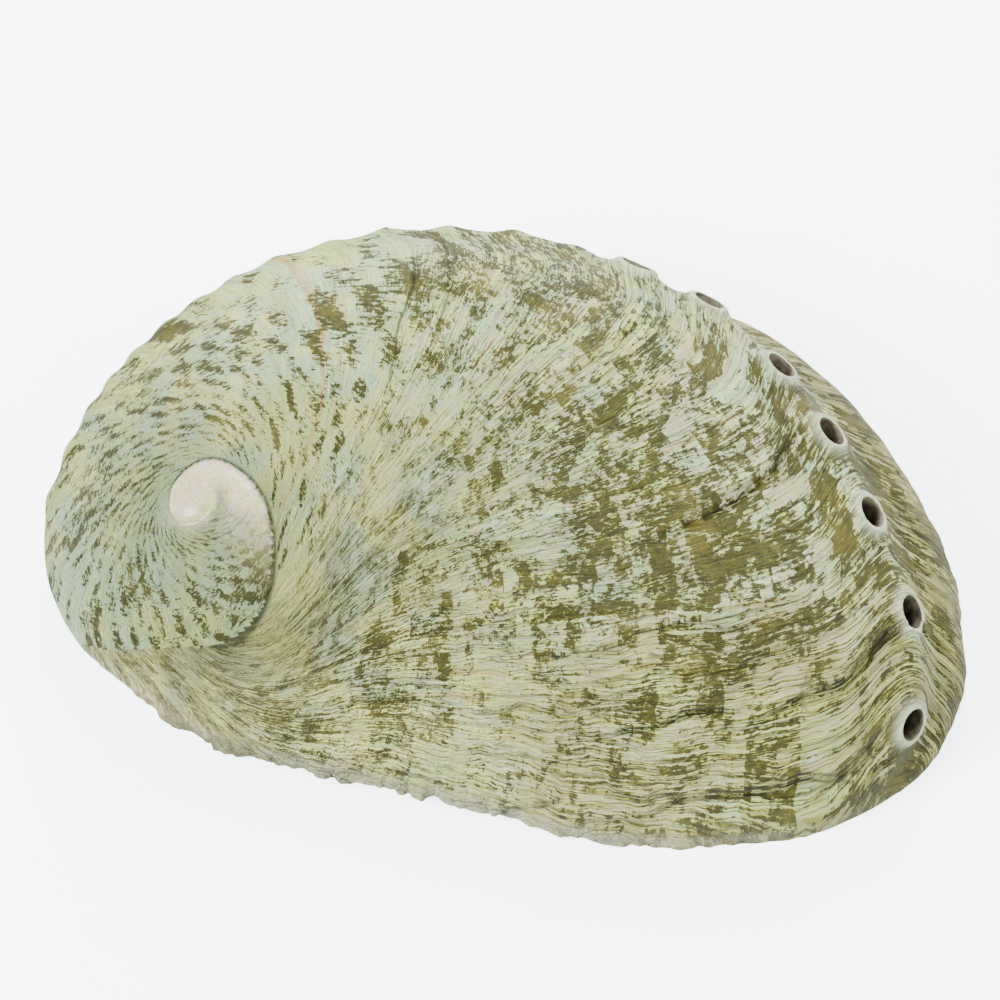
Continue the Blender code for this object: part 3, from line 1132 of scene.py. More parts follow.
@dataclass(frozen=True)
class Value:
    """One output in a node tree. Sums, differences and products of it add Math nodes."""

    pen: "NodePen"
    socket: bpy.types.NodeSocket

    def __add__(self, other: "Input") -> "Value":
        """Add another value."""
        return self.pen.math("ADD", self, other)

    def __sub__(self, other: "Input") -> "Value":
        """Take another value away."""
        return self.pen.math("SUBTRACT", self, other)

    def __rsub__(self, other: "Input") -> "Value":
        """Take this value away from a number."""
        return self.pen.math("SUBTRACT", other, self)

    def __mul__(self, other: "Input") -> "Value":
        """Multiply by another value."""
        return self.pen.math("MULTIPLY", self, other)

    def __abs__(self) -> "Value":
        """Drop the sign."""
        return self.pen.math("ABSOLUTE", self)

    __radd__ = __add__
    __rmul__ = __mul__

    def rise(self, low: "Input", high: "Input") -> "Value":
        """Map smoothly to 0 at low and 1 at high, also where high is the smaller."""
        parts = {"Value": self, "From Min": low, "From Max": high}
        return self.pen.add("ShaderNodeMapRange", parts, interpolation_type="SMOOTHSTEP")


Input = Value | float | tuple


@dataclass
class NodePen:
    """Draws nodes into one tree: most methods add a node and return its output."""

    tree: bpy.types.NodeTree

    def node(self, kind: str, **settings: object) -> bpy.types.Node:
        """Add a node.

        Args:
            kind: The node's type.
            settings: Its plain properties.

        Returns:
            The node.
        """
        made = self.tree.nodes.new(kind)
        for name, value in settings.items():
            setattr(made, name, value)
        return made

    def feed(self, socket: bpy.types.NodeSocket, value: Input) -> None:
        """Link a value to a socket, or set the socket to a plain one.

        Args:
            socket: The input socket.
            value: A value of this tree, a number, a vector or a colour.
        """
        if isinstance(value, Value):
            self.tree.links.new(value.socket, socket)
        else:
            socket.default_value = value

    def fill(self, node: bpy.types.Node, inputs: dict[str | int, Input]) -> None:
        """Feed several inputs of a node."""
        for name, value in inputs.items():
            self.feed(node.inputs[name], value)

    def add(
        self, kind: str, inputs: dict[str | int, Input], output: str | int = 0, **settings: object
    ) -> Value:
        """Add a node, feed it and return one of its outputs.

        Args:
            kind: The node's type.
            inputs: Values for its inputs, by name or place.
            output: The wanted output, by name or place.
            settings: Plain properties to set first.

        Returns:
            The wanted output.
        """
        made = self.node(kind, **settings)
        self.fill(made, inputs)
        return Value(self, made.outputs[output])

    def math(self, operation: str, *values: Input) -> Value:
        """Add a Math node."""
        return self.add("ShaderNodeMath", dict(enumerate(values)), operation=operation)

    def vector(self, x: Input, y: Input, z: Input = 0.0) -> Value:
        """Join three values into a vector."""
        return self.add("ShaderNodeCombineXYZ", {0: x, 1: y, 2: z})

    def split(self, vector: Value) -> tuple[Value, ...]:
        """Split a vector into its three values."""
        made = self.node("ShaderNodeSeparateXYZ")
        self.feed(made.inputs[0], vector)
        return tuple(Value(self, part) for part in made.outputs)

    def noise(self, place: Value, scale: float = 1.0, detail: float = 2.0, rough: float = 0.5) -> Value:
        """Add a Noise Texture and return its value."""
        inputs = {"Vector": place, "Scale": scale, "Detail": detail, "Roughness": rough}
        return self.add("ShaderNodeTexNoise", inputs)

    def blocks(self, place: Value, looseness: float) -> Value:
        """Add a Voronoi Texture of square cells and return one random value for each cell."""
        inputs = {"Vector": place, "Scale": 1.0, "Randomness": looseness}
        return self.split(self.add("ShaderNodeTexVoronoi", inputs, "Color", distance="CHEBYCHEV"))[0]

    def blend(self, share: Input, first: Value, second: Value) -> Value:
        """Mix two values."""
        return (second - first) * share + first

    def mix(self, share: Input, first: Input, second: Input, blend: str = "MIX") -> Value:
        """Mix two colours."""
        parts = {0: share, 6: first, 7: second}
        return self.add("ShaderNodeMix", parts, 2, data_type="RGBA", blend_type=blend)

    def paint(self, colour: Input, coats: tuple[tuple[Input, Input], ...]) -> Input:
        """Lay coats over a colour one after another.

        Args:
            colour: The ground.
            coats: Each coat's share, from 0 to 1, and its colour.

        Returns:
            The colour after the last coat.
        """
        for share, coat in coats:
            colour = self.mix(share, colour, coat)
        return colour

    def bump(self, height: Value, strength: float, distance: float) -> Value:
        """Turn a height into a normal."""
        return self.add("ShaderNodeBump", {"Strength": strength, "Distance": distance, "Height": height})

    def attribute(self, name: str, output: str = "Color") -> tuple[Value, ...]:
        """Read the four values of a mesh attribute, the first three from the named output."""
        made = self.node("ShaderNodeAttribute", attribute_name=name)
        return (*self.split(Value(self, made.outputs[output])), Value(self, made.outputs["Alpha"]))

    def flow(self) -> Value:
        """Read the map of growth lines and cords."""
        return self.add("ShaderNodeUVMap", {}, uv_map="flow")

    def place(self) -> Value:
        """Read the place on the object, in metres."""
        return self.add("ShaderNodeTexCoord", {}, "Object")

    def group(self, tree: bpy.types.NodeTree, **inputs: Input) -> dict[str, Value]:
        """Place a shared effect, feed its inputs and return its outputs by name."""
        made = self.node("ShaderNodeGroup", node_tree=tree)
        self.fill(made, inputs)
        return {socket.name: Value(self, socket) for socket in made.outputs}


@dataclass(frozen=True)
class Streaks:
    """Noise that is stretched along the growth lines or the cords."""

    per_line: float
    per_cord: float
    seed: float = 0.0
    detail: float = 2.0
    rough: float = 0.5

    def draw(self, pen: NodePen, line: Value, cord: Value) -> Value:
        """Add the noise at a growth line and a cord."""
        place = pen.vector(line * self.per_line, cord * self.per_cord, self.seed)
        return pen.noise(place, detail=self.detail, rough=self.rough)


@dataclass(frozen=True)
class GrowthLines:
    """Wavering lines along the growth: fine ones, broad ones, hairs, threads and thin cracks."""

    slow: Streaks = Streaks(0.16, 9.0)
    quick: Streaks = Streaks(0.7, 60.0)
    quick_share: float = 0.16
    fine: Streaks = Streaks(2.8, 8.0, 0.0, 4.0, 0.65)
    broad: Streaks = Streaks(0.75, 6.0, 4.0)
    crack_level: float = 0.47
    crack_width: float = 0.016
    crack_patches: Streaks = Streaks(0.3, 7.0, 9.0)
    patch_range: tuple[float, float] = (0.50, 0.60)
    thread: Streaks = Streaks(1.2, 4.0, 6.0)
    thread_width: tuple[float, float] = (0.004, 0.022)
    hair: Streaks = Streaks(6.5, 26.0, 8.0, 2.0, 0.6)

    def draw(self, pen: NodePen, given: dict[str, Value]) -> dict[str, Value]:
        """Add the lines to the effect's tree.

        Args:
            pen: Pen of the tree.
            given: The map of growth lines and cords, the density and the waver.

        Returns:
            The bent growth line and each kind of line, by name.
        """
        scaled, cord, _ = pen.split(given["Flow"])
        line = scaled * FLOW_SCALE
        quick = self.quick.draw(pen, line, cord) - MIDDLE
        shift = self.slow.draw(pen, line, cord) - MIDDLE + quick * self.quick_share
        bent = line + shift * given["Waver"]
        dense = bent * given["Density"]
        broad = self.broad.draw(pen, dense, cord)
        crack = 1.0 - abs(broad - self.crack_level).rise(0.0, self.crack_width)
        patches = self.crack_patches.draw(pen, line, cord).rise(*self.patch_range)
        thread = 1.0 - abs(self.thread.draw(pen, dense, cord) - MIDDLE).rise(*self.thread_width)
        return {
            "Line": bent,
            "Fine": self.fine.draw(pen, dense, cord),
            "Broad": broad,
            "Crack": crack * patches,
            "Thread": thread,
            "Hair": self.hair.draw(pen, dense, cord),
        }


@dataclass(frozen=True)
class Stains:
    """Soft stains of a chosen size over the object, with a fine grain."""

    second_shift: tuple[float, float, float] = (17.0, 5.0, 9.0)
    second_scale: float = 1.7
    grain_scale: float = 3600.0
    grain_rough: float = 0.7
    detail: float = 3.0

    def draw(self, pen: NodePen, given: dict[str, Value]) -> dict[str, Value]:
        """Add the stains to the effect's tree.

        Args:
            pen: Pen of the tree.
            given: The place on the object and the stains' size.

        Returns:
            Two sets of stains and the grain, by name.
        """
        per_size = pen.math("DIVIDE", 1.0, given["Size"])
        scaled = pen.add("ShaderNodeVectorMath", {0: given["Place"], "Scale": per_size}, operation="SCALE")
        moved = pen.add("ShaderNodeVectorMath", {0: scaled, 1: self.second_shift}, operation="ADD")
        return {
            "Stain": pen.noise(scaled, detail=self.detail),
            "Second": pen.noise(moved, self.second_scale, self.detail),
            "Grain": pen.noise(given["Place"], self.grain_scale, self.detail, self.grain_rough),
        }


class Effects:
    """Shared effects, each a node group that is built once."""

    def __init__(self) -> None:
        """Build the groups."""
        self.growth_lines = self.build(
            "growth lines", GrowthLines(), {"Flow": "Vector", "Density": "Float", "Waver": "Float"},
            ("Line", "Fine", "Broad", "Crack", "Thread", "Hair"),
        )
        self.stains = self.build(
            "stains", Stains(), {"Place": "Vector", "Size": "Float"}, ("Stain", "Second", "Grain")
        )

    @staticmethod
    def build(
        name: str, effect: GrowthLines | Stains, inputs: dict[str, str], outputs: tuple[str, ...]
    ) -> bpy.types.NodeTree:
        """Build one group.

        Args:
            name: The group's name.
            effect: What draws the group's nodes.
            inputs: Input names with their socket kinds.
            outputs: Output names, each for one plain value.

        Returns:
            The group's tree.
        """
        tree = bpy.data.node_groups.new(name, "ShaderNodeTree")
        for socket, kind in inputs.items():
            tree.interface.new_socket(socket, in_out="INPUT", socket_type=f"NodeSocket{kind}")
        for socket in outputs:
            tree.interface.new_socket(socket, in_out="OUTPUT", socket_type="NodeSocketFloat")
        pen = NodePen(tree)
        given = pen.node("NodeGroupInput")
        results = effect.draw(pen, {socket: Value(pen, given.outputs[socket]) for socket in inputs})
        pen.fill(pen.node("NodeGroupOutput"), results)
        return tree


def new_material(name: str) -> tuple[bpy.types.Material, NodePen, bpy.types.Node]:
    """Make a node material.

    Args:
        name: The material's name.

    Returns:
        The material, a pen for its tree and its Principled BSDF.
    """
    material = bpy.data.materials.new(name)
    material.use_nodes = True
    return material, NodePen(material.node_tree), material.node_tree.nodes["Principled BSDF"]


@dataclass(frozen=True)
class Blocks:
    """Olive blocks cut square by growth lines and cords, and broken up by flecks.

    Counts are per degree of growth or per cord coordinate; weights add up to the pigment.
    """

    columns: float
    rows: float
    per_column: float
    per_row: float
    flecks: Streaks
    check_weight: float
    column_weight: float
    row_weight: float
    tile_weight: float
    fleck_weight: float
    bead_weight: float
    fine_weight: float
    drift: float
    offset: float
    wobble_stretch: float = 1.5
    drift_stretch: float = 0.4
    column_seed: float = 7.31
    row_seed: float = 5.17
    bead_line: float = 0.36
    bead_cord: float = 0.80
    bead_looseness: float = 0.8
    bead_share: float = 0.55

    def draw(self, pen: NodePen, line: Value, cord: Value, fine: Value) -> tuple[Value, ...]:
        """Add up columns, rows, tiles, a chequer and flecks.

        Args:
            pen: Pen of the material's tree.
            line: The growth line.
            cord: The cord coordinate.
            fine: Fine growth lines.

        Returns:
            The pigment, olive above 0, the flecks, and one random value for each tile.
        """
        near = Streaks(self.rows, self.wobble_stretch * self.columns, 5.0)
        wide = Streaks(self.drift_stretch * self.rows, self.drift_stretch * self.columns, 2.0, 1.0)
        bend = near.draw(pen, line, cord) + wide.draw(pen, line, cord) * self.drift
        across = cord * self.columns + bend
        along = line * self.rows + bend
        column, row = pen.math("FLOOR", across), pen.math("FLOOR", along)
        columns = Streaks(self.per_column, self.column_seed, 0.0, 1.0).draw(pen, line, column)
        rows = Streaks(self.row_seed, self.per_row, 3.0, 1.0).draw(pen, row, cord)
        cell = {"Vector": pen.vector(column, row)}
        tile = pen.add("ShaderNodeTexWhiteNoise", cell, "Value", noise_dimensions="2D")
        check = pen.math("SINE", across * math.pi) * pen.math("SINE", along * math.pi)
        fleck = self.flecks.draw(pen, line, cord)
        bead_line = line * (self.bead_line * self.flecks.per_line)
        bead_cord = cord * (self.bead_cord * self.flecks.per_cord)
        bead = pen.blocks(pen.vector(bead_line, bead_cord), self.bead_looseness)
        total = check * self.check_weight + self.offset
        parts = (
            (columns, self.column_weight), (rows, self.row_weight), (tile, self.tile_weight),
            (fleck, self.fleck_weight), (bead, self.bead_weight), (fine, self.fine_weight),
        )
        for value, weight in parts:
            total = total + (value - MIDDLE) * weight
        return total, fleck, pen.blend(self.bead_share, tile, bead)


@dataclass(frozen=True)
class Pattern:
    """What the outer face's colours and relief follow, as values in its material's tree."""

    cord: Value
    early: Value
    line: Value
    fine: Value
    broad: Value
    crack: Value
    thread: Value
    hair: Value
    stain: Value
    second: Value
    grain: Value
    pearl: Value
    collar: Value
    edge: Value
    foot: Value

    @classmethod
    def read(cls, pen: NodePen, effects: Effects, early: tuple[float, float]) -> "Pattern":
        """Read the pattern's values into a material's tree.

        Args:
            pen: Pen of the tree.
            effects: The shared effects.
            early: Growth lines between which the late shell turns into the early whorls.

        Returns:
            The values.
        """
        flow = pen.flow()
        lines = pen.group(effects.growth_lines, Flow=flow, Density=1.0, Waver=2.6)
        stains = pen.group(effects.stains, Place=pen.place(), Size=0.008)
        marks = (*lines.values(), *stains.values(), *pen.attribute("zones"))
        return cls(pen.split(flow)[1], lines["Line"].rise(*early), *marks)


@dataclass(frozen=True)
class OuterFinish:
    """The mottled outer face: pale green lime with olive spots, growth lines and cords.

    Colours are linear. A line is counted in degrees of growth and a cord from crease to keel.
    """

    pale: tuple = (0.395, 0.490, 0.160, 1.0)
    cool: tuple = (0.345, 0.490, 0.275, 1.0)
    grey: tuple = (0.390, 0.400, 0.245, 1.0)
    rosy: tuple = (0.425, 0.385, 0.245, 1.0)
    cream: tuple = (0.540, 0.550, 0.165, 1.0)
    light_olive: tuple = (0.200, 0.195, 0.032, 1.0)
    olive: tuple = (0.057, 0.054, 0.003, 1.0)
    deep_olive: tuple = (0.024, 0.021, 0.002, 1.0)
    ochre: tuple = (0.180, 0.145, 0.026, 1.0)
    tan: tuple = (0.350, 0.305, 0.125, 1.0)
    pink: tuple = (0.480, 0.225, 0.100, 1.0)
    # Dark colour of the cracks, also painted as shadow under the ledges and as shade in the spire's
    # crease.
    crack: tuple = (0.012, 0.010, 0.004, 1.0)
    pearl: tuple = (0.600, 0.560, 0.300, 1.0)
    pearl_pink: tuple = (0.560, 0.400, 0.260, 1.0)
    pearl_blue: tuple = (0.430, 0.500, 0.440, 1.0)
    # Pale colour of the hole collars, also painted on a few tiles as highlights.
    collar: tuple = (0.500, 0.560, 0.370, 1.0)
    blush: tuple = (0.460, 0.370, 0.190, 1.0)
    chalk: tuple = (0.290, 0.295, 0.200, 1.0)
    roughness: float = 0.42
    line_roughness: float = 0.30
    pearl_polish: float = 0.24
    specular: float = 0.20
    pearl_coat: float = 0.45
    coat_roughness: float = 0.28
    cords: float = 100.0
    cord_weight: float = 0.025
    relief_depth: float = 0.0006
    late_blocks: Blocks = Blocks(
        columns=50.0, rows=0.44, per_column=0.16, per_row=10.0,
        flecks=Streaks(3.4, 135.0, 1.0, 4.0, 0.75), check_weight=0.06, column_weight=1.10,
        row_weight=1.05, tile_weight=0.20, fleck_weight=2.00, bead_weight=0.42, fine_weight=0.90,
        drift=0.9, offset=-0.065,
    )
    early_blocks: Blocks = Blocks(
        columns=10.5, rows=0.20, per_column=0.10, per_row=5.0,
        flecks=Streaks(0.42, 86.0, 1.0, 4.0, 0.75), check_weight=0.32, column_weight=0.60,
        row_weight=0.85, tile_weight=0.10, fleck_weight=2.50, bead_weight=0.16, fine_weight=0.30,
        drift=2.2, offset=-0.13,
    )
    regions: Streaks = Streaks(0.035, 3.0, 2.0, 1.0)
    early: tuple[float, float] = (40.0, 62.0)
    newest: tuple[float, float] = (-5.0, -17.0)
    seam_line: float = 72.0
    seam_bend: float = 9.0
    seam_width: tuple[float, float] = (1.5, 0.3)

    def build(self, effects: Effects) -> bpy.types.Material:
        """Build the material.

        Args:
            effects: The shared effects.

        Returns:
            The material.
        """
        material, pen, shader = new_material("mottled_outer_face")
        at = Pattern.read(pen, effects, self.early)
        pigment, fleck, tile = self.pigment(pen, at)
        colour = self.spots(pen, at, self.ground(pen, at, tile), pigment, fleck)
        colour = self.worn_places(pen, at, self.dark_lines(pen, at, colour), fleck)
        pen.fill(shader, {
            "Base Color": colour,
            "Roughness": at.fine * self.line_roughness + self.roughness - at.pearl * self.pearl_polish,
            "Specular IOR Level": self.specular,
            "Coat Weight": at.pearl * self.pearl_coat,
            "Coat Roughness": self.coat_roughness,
            "Normal": self.relief(pen, at, fleck),
        })
        return material

    def pigment(self, pen: NodePen, at: Pattern) -> tuple[Value, Value, Value]:
        """Work out how much olive each place has, in blocks cut by growth lines and cords.

        Args:
            pen: Pen of the material's tree.
            at: The pattern's values.

        Returns:
            The pigment, olive above 0, the fine flecks in it, and one random value for each tile.
        """
        old, old_fleck, old_tile = self.early_blocks.draw(pen, at.line, at.cord, at.fine)
        new, new_fleck, new_tile = self.late_blocks.draw(pen, at.line, at.cord, at.fine)
        last = 1.0 - at.line.rise(4.0, 24.0)
        parts = (
            ((1.0 - at.cord.rise(0.25, 0.62)) * (at.fine - 0.46), 2.6),
            (at.cord.rise(0.66, 0.92), last * 0.13 + 0.06),
            (at.line.rise(*self.newest), at.hair * 1.5 - 0.85),
            (at.cord.rise(0.58, 0.40) * at.line.rise(0.0, 30.0), -0.09),
            (at.cord.rise(1.00, 1.03), -0.10),
        )
        for share, weight in parts:
            new = new + share * weight
        old = old + at.cord.rise(0.93, 1.02) * 0.04
        region = (self.regions.draw(pen, at.line, at.cord) - MIDDLE) * 0.6
        near_crease = pen.math("MAXIMUM", at.line.rise(20.0, 60.0) - at.cord.rise(0.04, 0.30), 0.0)
        total = pen.blend(at.early, new, old) + region - near_crease * 0.20 - at.foot * 0.06
        fleck = pen.blend(at.early, new_fleck, old_fleck)
        return total, fleck, pen.blend(at.early, new_tile, old_tile)

    def ground(self, pen: NodePen, at: Pattern, tile: Value) -> Input:
        """Draw the pale ground with cool, cream, ochre and pink streaks, and a few tiles painted as
        highlights.

        Args:
            pen: Pen of the material's tree.
            at: The pattern's values.
            tile: One random value for each tile.

        Returns:
            The colour.
        """
        late = 1.0 - at.early
        shown = late * 0.42 + 0.12
        newest = at.line.rise(*self.newest) * at.cord.rise(0.45, 0.75)
        final = pen.math("MAXIMUM", newest, at.cord.rise(0.99, 1.03) * late)
        bend = at.cord.rise(0.48, 0.10) * self.seam_bend + self.seam_line
        seam = abs(at.line - bend).rise(*self.seam_width)
        fan = at.cord.rise(0.66, 0.40) * late * at.second.rise(0.36, 0.56)
        hairs = at.hair.rise(0.47, 0.57) * (final * 0.72 + 0.16)
        outside = pen.math("MAXIMUM", at.cord.rise(1.0, 1.06), at.foot * 0.7)
        return pen.paint(self.pale, (
            (at.stain.rise(0.42, 0.60), self.cool),
            (at.second.rise(0.46, 0.62) * (late * -0.3 + 0.75), self.cream),
            (at.broad.rise(0.50, 0.40) * (late * 0.4 + 0.4), self.grey),
            (tile.rise(0.60, 0.64) * shown, self.cool),
            (tile.rise(0.36, 0.32) * shown, self.rosy),
            # Painted highlights: a few random tiles lightened to the collar colour, standing for glints on
            # the beads.
            (tile.rise(0.84, 0.88) * 0.55, self.collar),
            (fan * 0.60, self.cream),
            (at.broad.rise(0.61, 0.66) * 0.38, self.pink),
            (seam * 0.55, self.pink),
            (final * (at.stain.rise(0.38, 0.60) * 0.50 + 0.25), self.tan),
            (hairs * (late * 0.8 + 0.2), self.light_olive),
            (at.line.rise(120.0, 200.0) * at.stain.rise(0.36, 0.52) * 0.6, self.cool),
            (at.fine.rise(0.50, 0.68) * 0.45, self.ochre),
            (outside * 0.55, self.ochre),
        ))

    def spots(self, pen: NodePen, at: Pattern, ground: Input, pigment: Value, fleck: Value) -> Input:
        """Lay the olive over the ground, with a thin lighter margin.

        Args:
            pen: Pen of the material's tree.
            at: The pattern's values.
            ground: The colour so far.
            pigment: How much olive each place has.
            fleck: The fine flecks in it.

        Returns:
            The colour.
        """
        olive = pen.mix(fleck.rise(0.42, 0.62), self.olive, self.deep_olive)
        olive = pen.mix(at.second.rise(0.50, 0.66) * 0.32, olive, self.ochre)
        return pen.paint(ground, (
            (pigment.rise(-0.16, -0.03) * 0.35, self.light_olive),
            (pigment.rise(-0.010, 0.035) * 0.97, olive),
        ))

    def dark_lines(self, pen: NodePen, at: Pattern, colour: Input) -> Input:
        """Draw the fine threads, the cracks, painted shadow under ledges and painted shade in the spire's
        crease.

        Args:
            pen: Pen of the material's tree.
            at: The pattern's values.
            colour: The colour so far.

        Returns:
            The colour.
        """
        late = 1.0 - at.early * 0.7
        # Distance behind the nearest ledge and the strength of its painted shadow, widened on the early
        # whorls.
        behind, near, _, _ = pen.attribute("ledge_shade", "Vector")
        widened = at.line.rise(20.0, 50.0) * 2.2 + 1.0
        shade = 1.0 - abs(pen.math("DIVIDE", behind, widened)).rise(0.03, 0.15)
        beside = 1.0 - abs(at.cord - 0.006).rise(0.010, 0.040)
        return pen.paint(colour, (
            (at.thread * late * 0.62, self.deep_olive),
            (at.crack * late * 0.8, self.crack),
            # Painted shadow under the broken ledges, in the crack colour.
            (shade * near * at.fine.rise(0.34, 0.52) * 0.80, self.crack),
            # Painted shade along the spire's crease, over the crease's own thin dark line.
            (beside * at.line.rise(5.0, 45.0) * 0.85, self.crack),
        ))

    def worn_places(self, pen: NodePen, at: Pattern, colour: Input, fleck: Value) -> Value:
        """Lay the pearly apex, the pale hole collars and the chalky lip over the pattern.

        Args:
            pen: Pen of the material's tree.
            at: The pattern's values.
            colour: The colour so far.
            fleck: The fine flecks in the olive.

        Returns:
            The finished colour.
        """
        small = pen.noise(pen.place(), scale=900.0, detail=3.0)
        sheen = pen.paint(self.pearl, (
            (small.rise(0.40, 0.60), self.pearl_pink),
            (small.rise(0.56, 0.66), self.pearl_blue),
            (small.rise(0.47, 0.40) * 0.7, self.pale),
        ))
        dashes = fleck.rise(0.52, 0.57) * at.cord.rise(0.75, 0.35) * (1.0 - at.line.rise(395.0, 425.0))
        young = 1.0 - pen.math("MAXIMUM", at.cord.rise(0.06, 0.26), at.line.rise(0.0, 30.0))
        chalk = pen.mix(at.grain.rise(0.50, 0.64) * 0.8, self.chalk, self.deep_olive)
        worn = pen.paint(colour, (
            (at.pearl * (0.88 - dashes * 0.85), sheen),
            (at.collar * 0.85, self.collar),
            (young * (at.foot * 0.45 + 0.10), self.blush),
            (at.edge * 0.65, chalk),
        ))
        grain = at.grain * 0.7 + 0.65
        return pen.mix(1.0, worn, pen.vector(grain, grain, grain), "MULTIPLY")

    def relief(self, pen: NodePen, at: Pattern, fleck: Value) -> Value:
        """Raise the finest cords, growth lines and grain.

        Args:
            pen: Pen of the material's tree.
            at: The pattern's values.
            fleck: The fine flecks in the olive.

        Returns:
            The normal.
        """
        height = pen.math("SINE", at.cord * (self.cords * 2.0 * math.pi)) * self.cord_weight
        parts = (
            (at.fine, 1.1), (at.broad, 0.6), (at.hair, 0.45), (at.crack, -0.30), (at.thread, -0.12),
            (fleck, 0.35),
        )
        for value, weight in parts:
            height = height + value * weight
        beads = pen.noise(pen.place(), scale=2600.0, detail=1.0).rise(0.45, 0.65) * at.pearl
        height = height * (1.0 - at.pearl * 0.85) + beads * 0.12 + at.grain * 0.25
        return pen.bump(height, 1.0, self.relief_depth)


@dataclass(frozen=True)
class NacreFinish:
    """The hollow face's mother of pearl."""

    silver: tuple = linear_colour(204, 212, 208)
    green: tuple = linear_colour(126, 190, 172)
    rose: tuple = linear_colour(220, 160, 178)
    gold: tuple = linear_colour(222, 206, 150)
    roughness: float = 0.22
    grain_roughness: float = 0.1
    coat: float = 0.5
    metallic: float = 0.45
    relief_strength: float = 0.35
    relief_depth: float = 0.0004

    def build(self, effects: Effects) -> bpy.types.Material:
        """Build the material.

        Args:
            effects: The shared effects.

        Returns:
            The material.
        """
        material, pen, shader = new_material("mother_of_pearl")
        lines = pen.group(effects.growth_lines, Flow=pen.flow(), Density=0.5, Waver=6.0)
        stains = pen.group(effects.stains, Place=pen.place(), Size=0.007)
        bands = lines["Fine"] - MIDDLE
        colour = pen.paint(self.silver, (
            ((bands * 0.55 + stains["Stain"]).rise(0.42, 0.60), self.green),
            ((bands * -0.45 + stains["Second"]).rise(0.48, 0.62), self.rose),
            (lines["Broad"].rise(0.5, 0.65) * 0.6, self.gold),
        ))
        height = lines["Broad"] + stains["Second"] * 1.5
        pen.fill(shader, {
            "Base Color": colour,
            "Roughness": stains["Grain"] * self.grain_roughness + self.roughness,
            "Coat Weight": self.coat,
            "Metallic": self.metallic,
            "Normal": pen.bump(height, self.relief_strength, self.relief_depth),
        })
        return material


@dataclass(frozen=True)
class EdgeFinish:
    """The broken lip and the flat ledge: chalk outside, pearl towards the hollow."""

    chalk: tuple = (0.150, 0.152, 0.105, 1.0)
    dark: tuple = (0.050, 0.050, 0.033, 1.0)
    pearl: tuple = (0.450, 0.480, 0.380, 1.0)
    roughness: float = 0.6
    stain_polish: float = 0.3
    relief_strength: float = 0.6
    relief_depth: float = 0.0003

    def build(self, effects: Effects) -> bpy.types.Material:
        """Build the material.

        Args:
            effects: The shared effects.

        Returns:
            The material.
        """
        material, pen, shader = new_material("layered_edge")
        stains = pen.group(effects.stains, Place=pen.place(), Size=0.0015)
        lines = pen.group(effects.growth_lines, Flow=pen.flow(), Density=2.0, Waver=1.0)
        edge = pen.attribute("zones")[2]
        chalk = pen.mix(stains["Stain"].rise(0.40, 0.62), self.chalk, self.dark)
        pearl = pen.mix(lines["Fine"] * 0.4, self.pearl, self.chalk)
        pen.fill(shader, {
            "Base Color": pen.mix(edge, pearl, chalk),
            "Roughness": self.roughness - stains["Second"] * self.stain_polish,
            "Normal": pen.bump(stains["Stain"], self.relief_strength, self.relief_depth),
        })
        return material


@dataclass(frozen=True)
class BoreFinish:
    """The wall of a hole: brown and pale in small stains."""

    pale: tuple = (0.140, 0.120, 0.070, 1.0)
    brown: tuple = (0.032, 0.022, 0.008, 1.0)
    roughness: float = 0.6
    grain_roughness: float = 0.2
    relief_strength: float = 0.4
    relief_depth: float = 0.0002

    def build(self, effects: Effects) -> bpy.types.Material:
        """Build the material.

        Args:
            effects: The shared effects.

        Returns:
            The material.
        """
        material, pen, shader = new_material("hole_wall")
        stains = pen.group(effects.stains, Place=pen.place(), Size=0.0012)
        pen.fill(shader, {
            "Base Color": pen.mix(stains["Stain"].rise(0.35, 0.65), self.brown, self.pale),
            "Roughness": stains["Grain"] * self.grain_roughness + self.roughness,
            "Normal": pen.bump(stains["Grain"], self.relief_strength, self.relief_depth),
        })
        return material


@dataclass
class DressedShell:
    """The shell's mesh with its four finishes, standing for the solid."""

    piece: ShellPiece = field(default_factory=ShellPiece)
    outer: OuterFinish = field(default_factory=OuterFinish)
    hollow: NacreFinish = field(default_factory=NacreFinish)
    edge: EdgeFinish = field(default_factory=EdgeFinish)
    bore: BoreFinish = field(default_factory=BoreFinish)

    def build(self) -> bpy.types.Object:
        """Build the mesh and dress it.

        Returns:
            The dressed shell.
        """
        made = self.piece.build()
        effects = Effects()
        finishes = {
            Slot.OUTER: self.outer, Slot.HOLLOW: self.hollow, Slot.EDGE: self.edge, Slot.BORE: self.bore
        }
        for slot, finish in finishes.items():
            made.data.materials[slot.value] = finish.build(effects)
        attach(made, "root")
        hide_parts(NODE)
        return made


@dataclass(frozen=True)
class SoftLight:
    """One soft studio lamp, aimed at the shell."""

    name: str
    place: tuple[float, float, float]
    size: float
    power: float


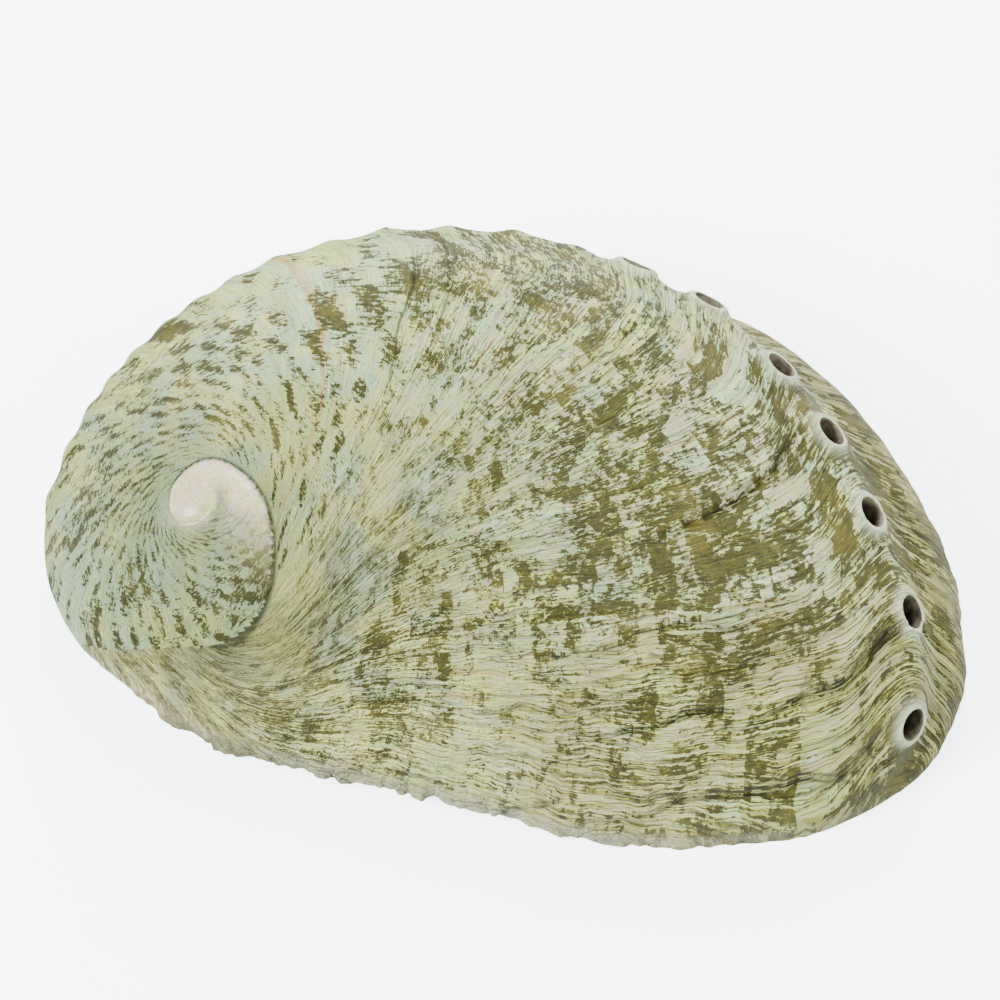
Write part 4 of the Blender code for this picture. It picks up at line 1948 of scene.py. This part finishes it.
@dataclass
class Studio:
    """Pale floor, soft light and the camera at the photograph's angle."""

    floor_size: float = 3.0
    floor_colour: tuple = (0.84, 0.90, 0.88, 1.0)
    floor_roughness: float = 0.6
    sky: tuple[float, float, float, float] = (0.93, 1.0, 0.985, 1.0)
    sky_strength: float = 0.8
    sky_seen: float = 7.0
    floor_glow: float = 4.0
    lights: tuple[SoftLight, ...] = (
        SoftLight("key", (-0.52, -0.12, 0.46), 0.30, 16.8),
        SoftLight("back", (0.10, 0.58, 0.42), 0.40, 12.8),
        SoftLight("side", (0.52, -0.05, 0.40), 0.40, 4.8),
    )
    camera_azimuth: float = -5.0
    camera_elevation: float = 64.0
    camera_distance: float = 0.4106
    lens: float = 150.0
    aim: tuple[float, float, float] = (0.00012, 0.00182, 0.0080)

    def build(self) -> None:
        """Build floor, lights, surroundings and camera."""
        self.build_floor()
        self.build_world()
        for light in self.lights:
            self.build_light(light)
        self.build_camera()

    def build_floor(self) -> None:
        """Lay the plain floor."""
        mesh = bmesh.new()
        bmesh.ops.create_grid(mesh, x_segments=1, y_segments=1, size=self.floor_size / 2.0)
        data = close_mesh("floor", mesh)
        floor = new_object("floor", data)
        material, pen, shader = new_material("pale_floor")
        pen.fill(shader, {
            "Base Color": self.floor_colour,
            "Roughness": self.floor_roughness,
            "Emission Color": self.floor_colour,
            "Emission Strength": pen.add("ShaderNodeLightPath", {}, "Is Camera Ray") * self.floor_glow,
        })
        data.materials.append(material)

    def build_world(self) -> None:
        """Light the scene evenly from all round."""
        world = bpy.data.worlds.new("soft_box")
        world.use_nodes = True
        background = world.node_tree.nodes["Background"]
        background.inputs["Color"].default_value = self.sky
        pen = NodePen(world.node_tree)
        seen = pen.add("ShaderNodeLightPath", {}, "Is Camera Ray")
        strength = seen * (self.sky_seen - self.sky_strength) + self.sky_strength
        pen.feed(background.inputs["Strength"], strength)
        bpy.context.scene.world = world

    @staticmethod
    def build_light(light: SoftLight) -> None:
        """Hang one area lamp.

        Args:
            light: The lamp's place, size and power.
        """
        data = bpy.data.lights.new(light.name, "AREA")
        data.shape = "DISK"
        data.size = light.size
        data.energy = light.power
        lamp = new_object(light.name, data)
        lamp.location = light.place
        lamp.rotation_euler = Vector(light.place).to_track_quat("Z", "Y").to_euler()

    def build_camera(self) -> None:
        """Stand the camera where the photograph was taken from."""
        data = bpy.data.cameras.new("camera")
        data.lens = self.lens
        data.sensor_width = 36.0
        data.sensor_fit = "HORIZONTAL"
        azimuth = math.radians(self.camera_azimuth)
        elevation = math.radians(self.camera_elevation)
        back = Vector((
            math.sin(azimuth) * math.cos(elevation),
            -math.cos(azimuth) * math.cos(elevation),
            math.sin(elevation),
        ))
        camera = new_object("camera", data)
        camera.location = Vector(self.aim) + back * self.camera_distance
        camera.rotation_euler = back.to_track_quat("Z", "Y").to_euler()
        bpy.context.scene.camera = camera


def main() -> None:
    """Build the shell and its studio, and report each piece."""
    logging.basicConfig(level=logging.INFO, format="%(name)s: %(message)s")
    shell = DressedShell().build()
    LOG.info("%s: %d faces", shell.name, len(shell.data.polygons))
    Studio().build()
    LOG.info("studio: floor, lights and camera")


if __name__ == "__main__":
    main()
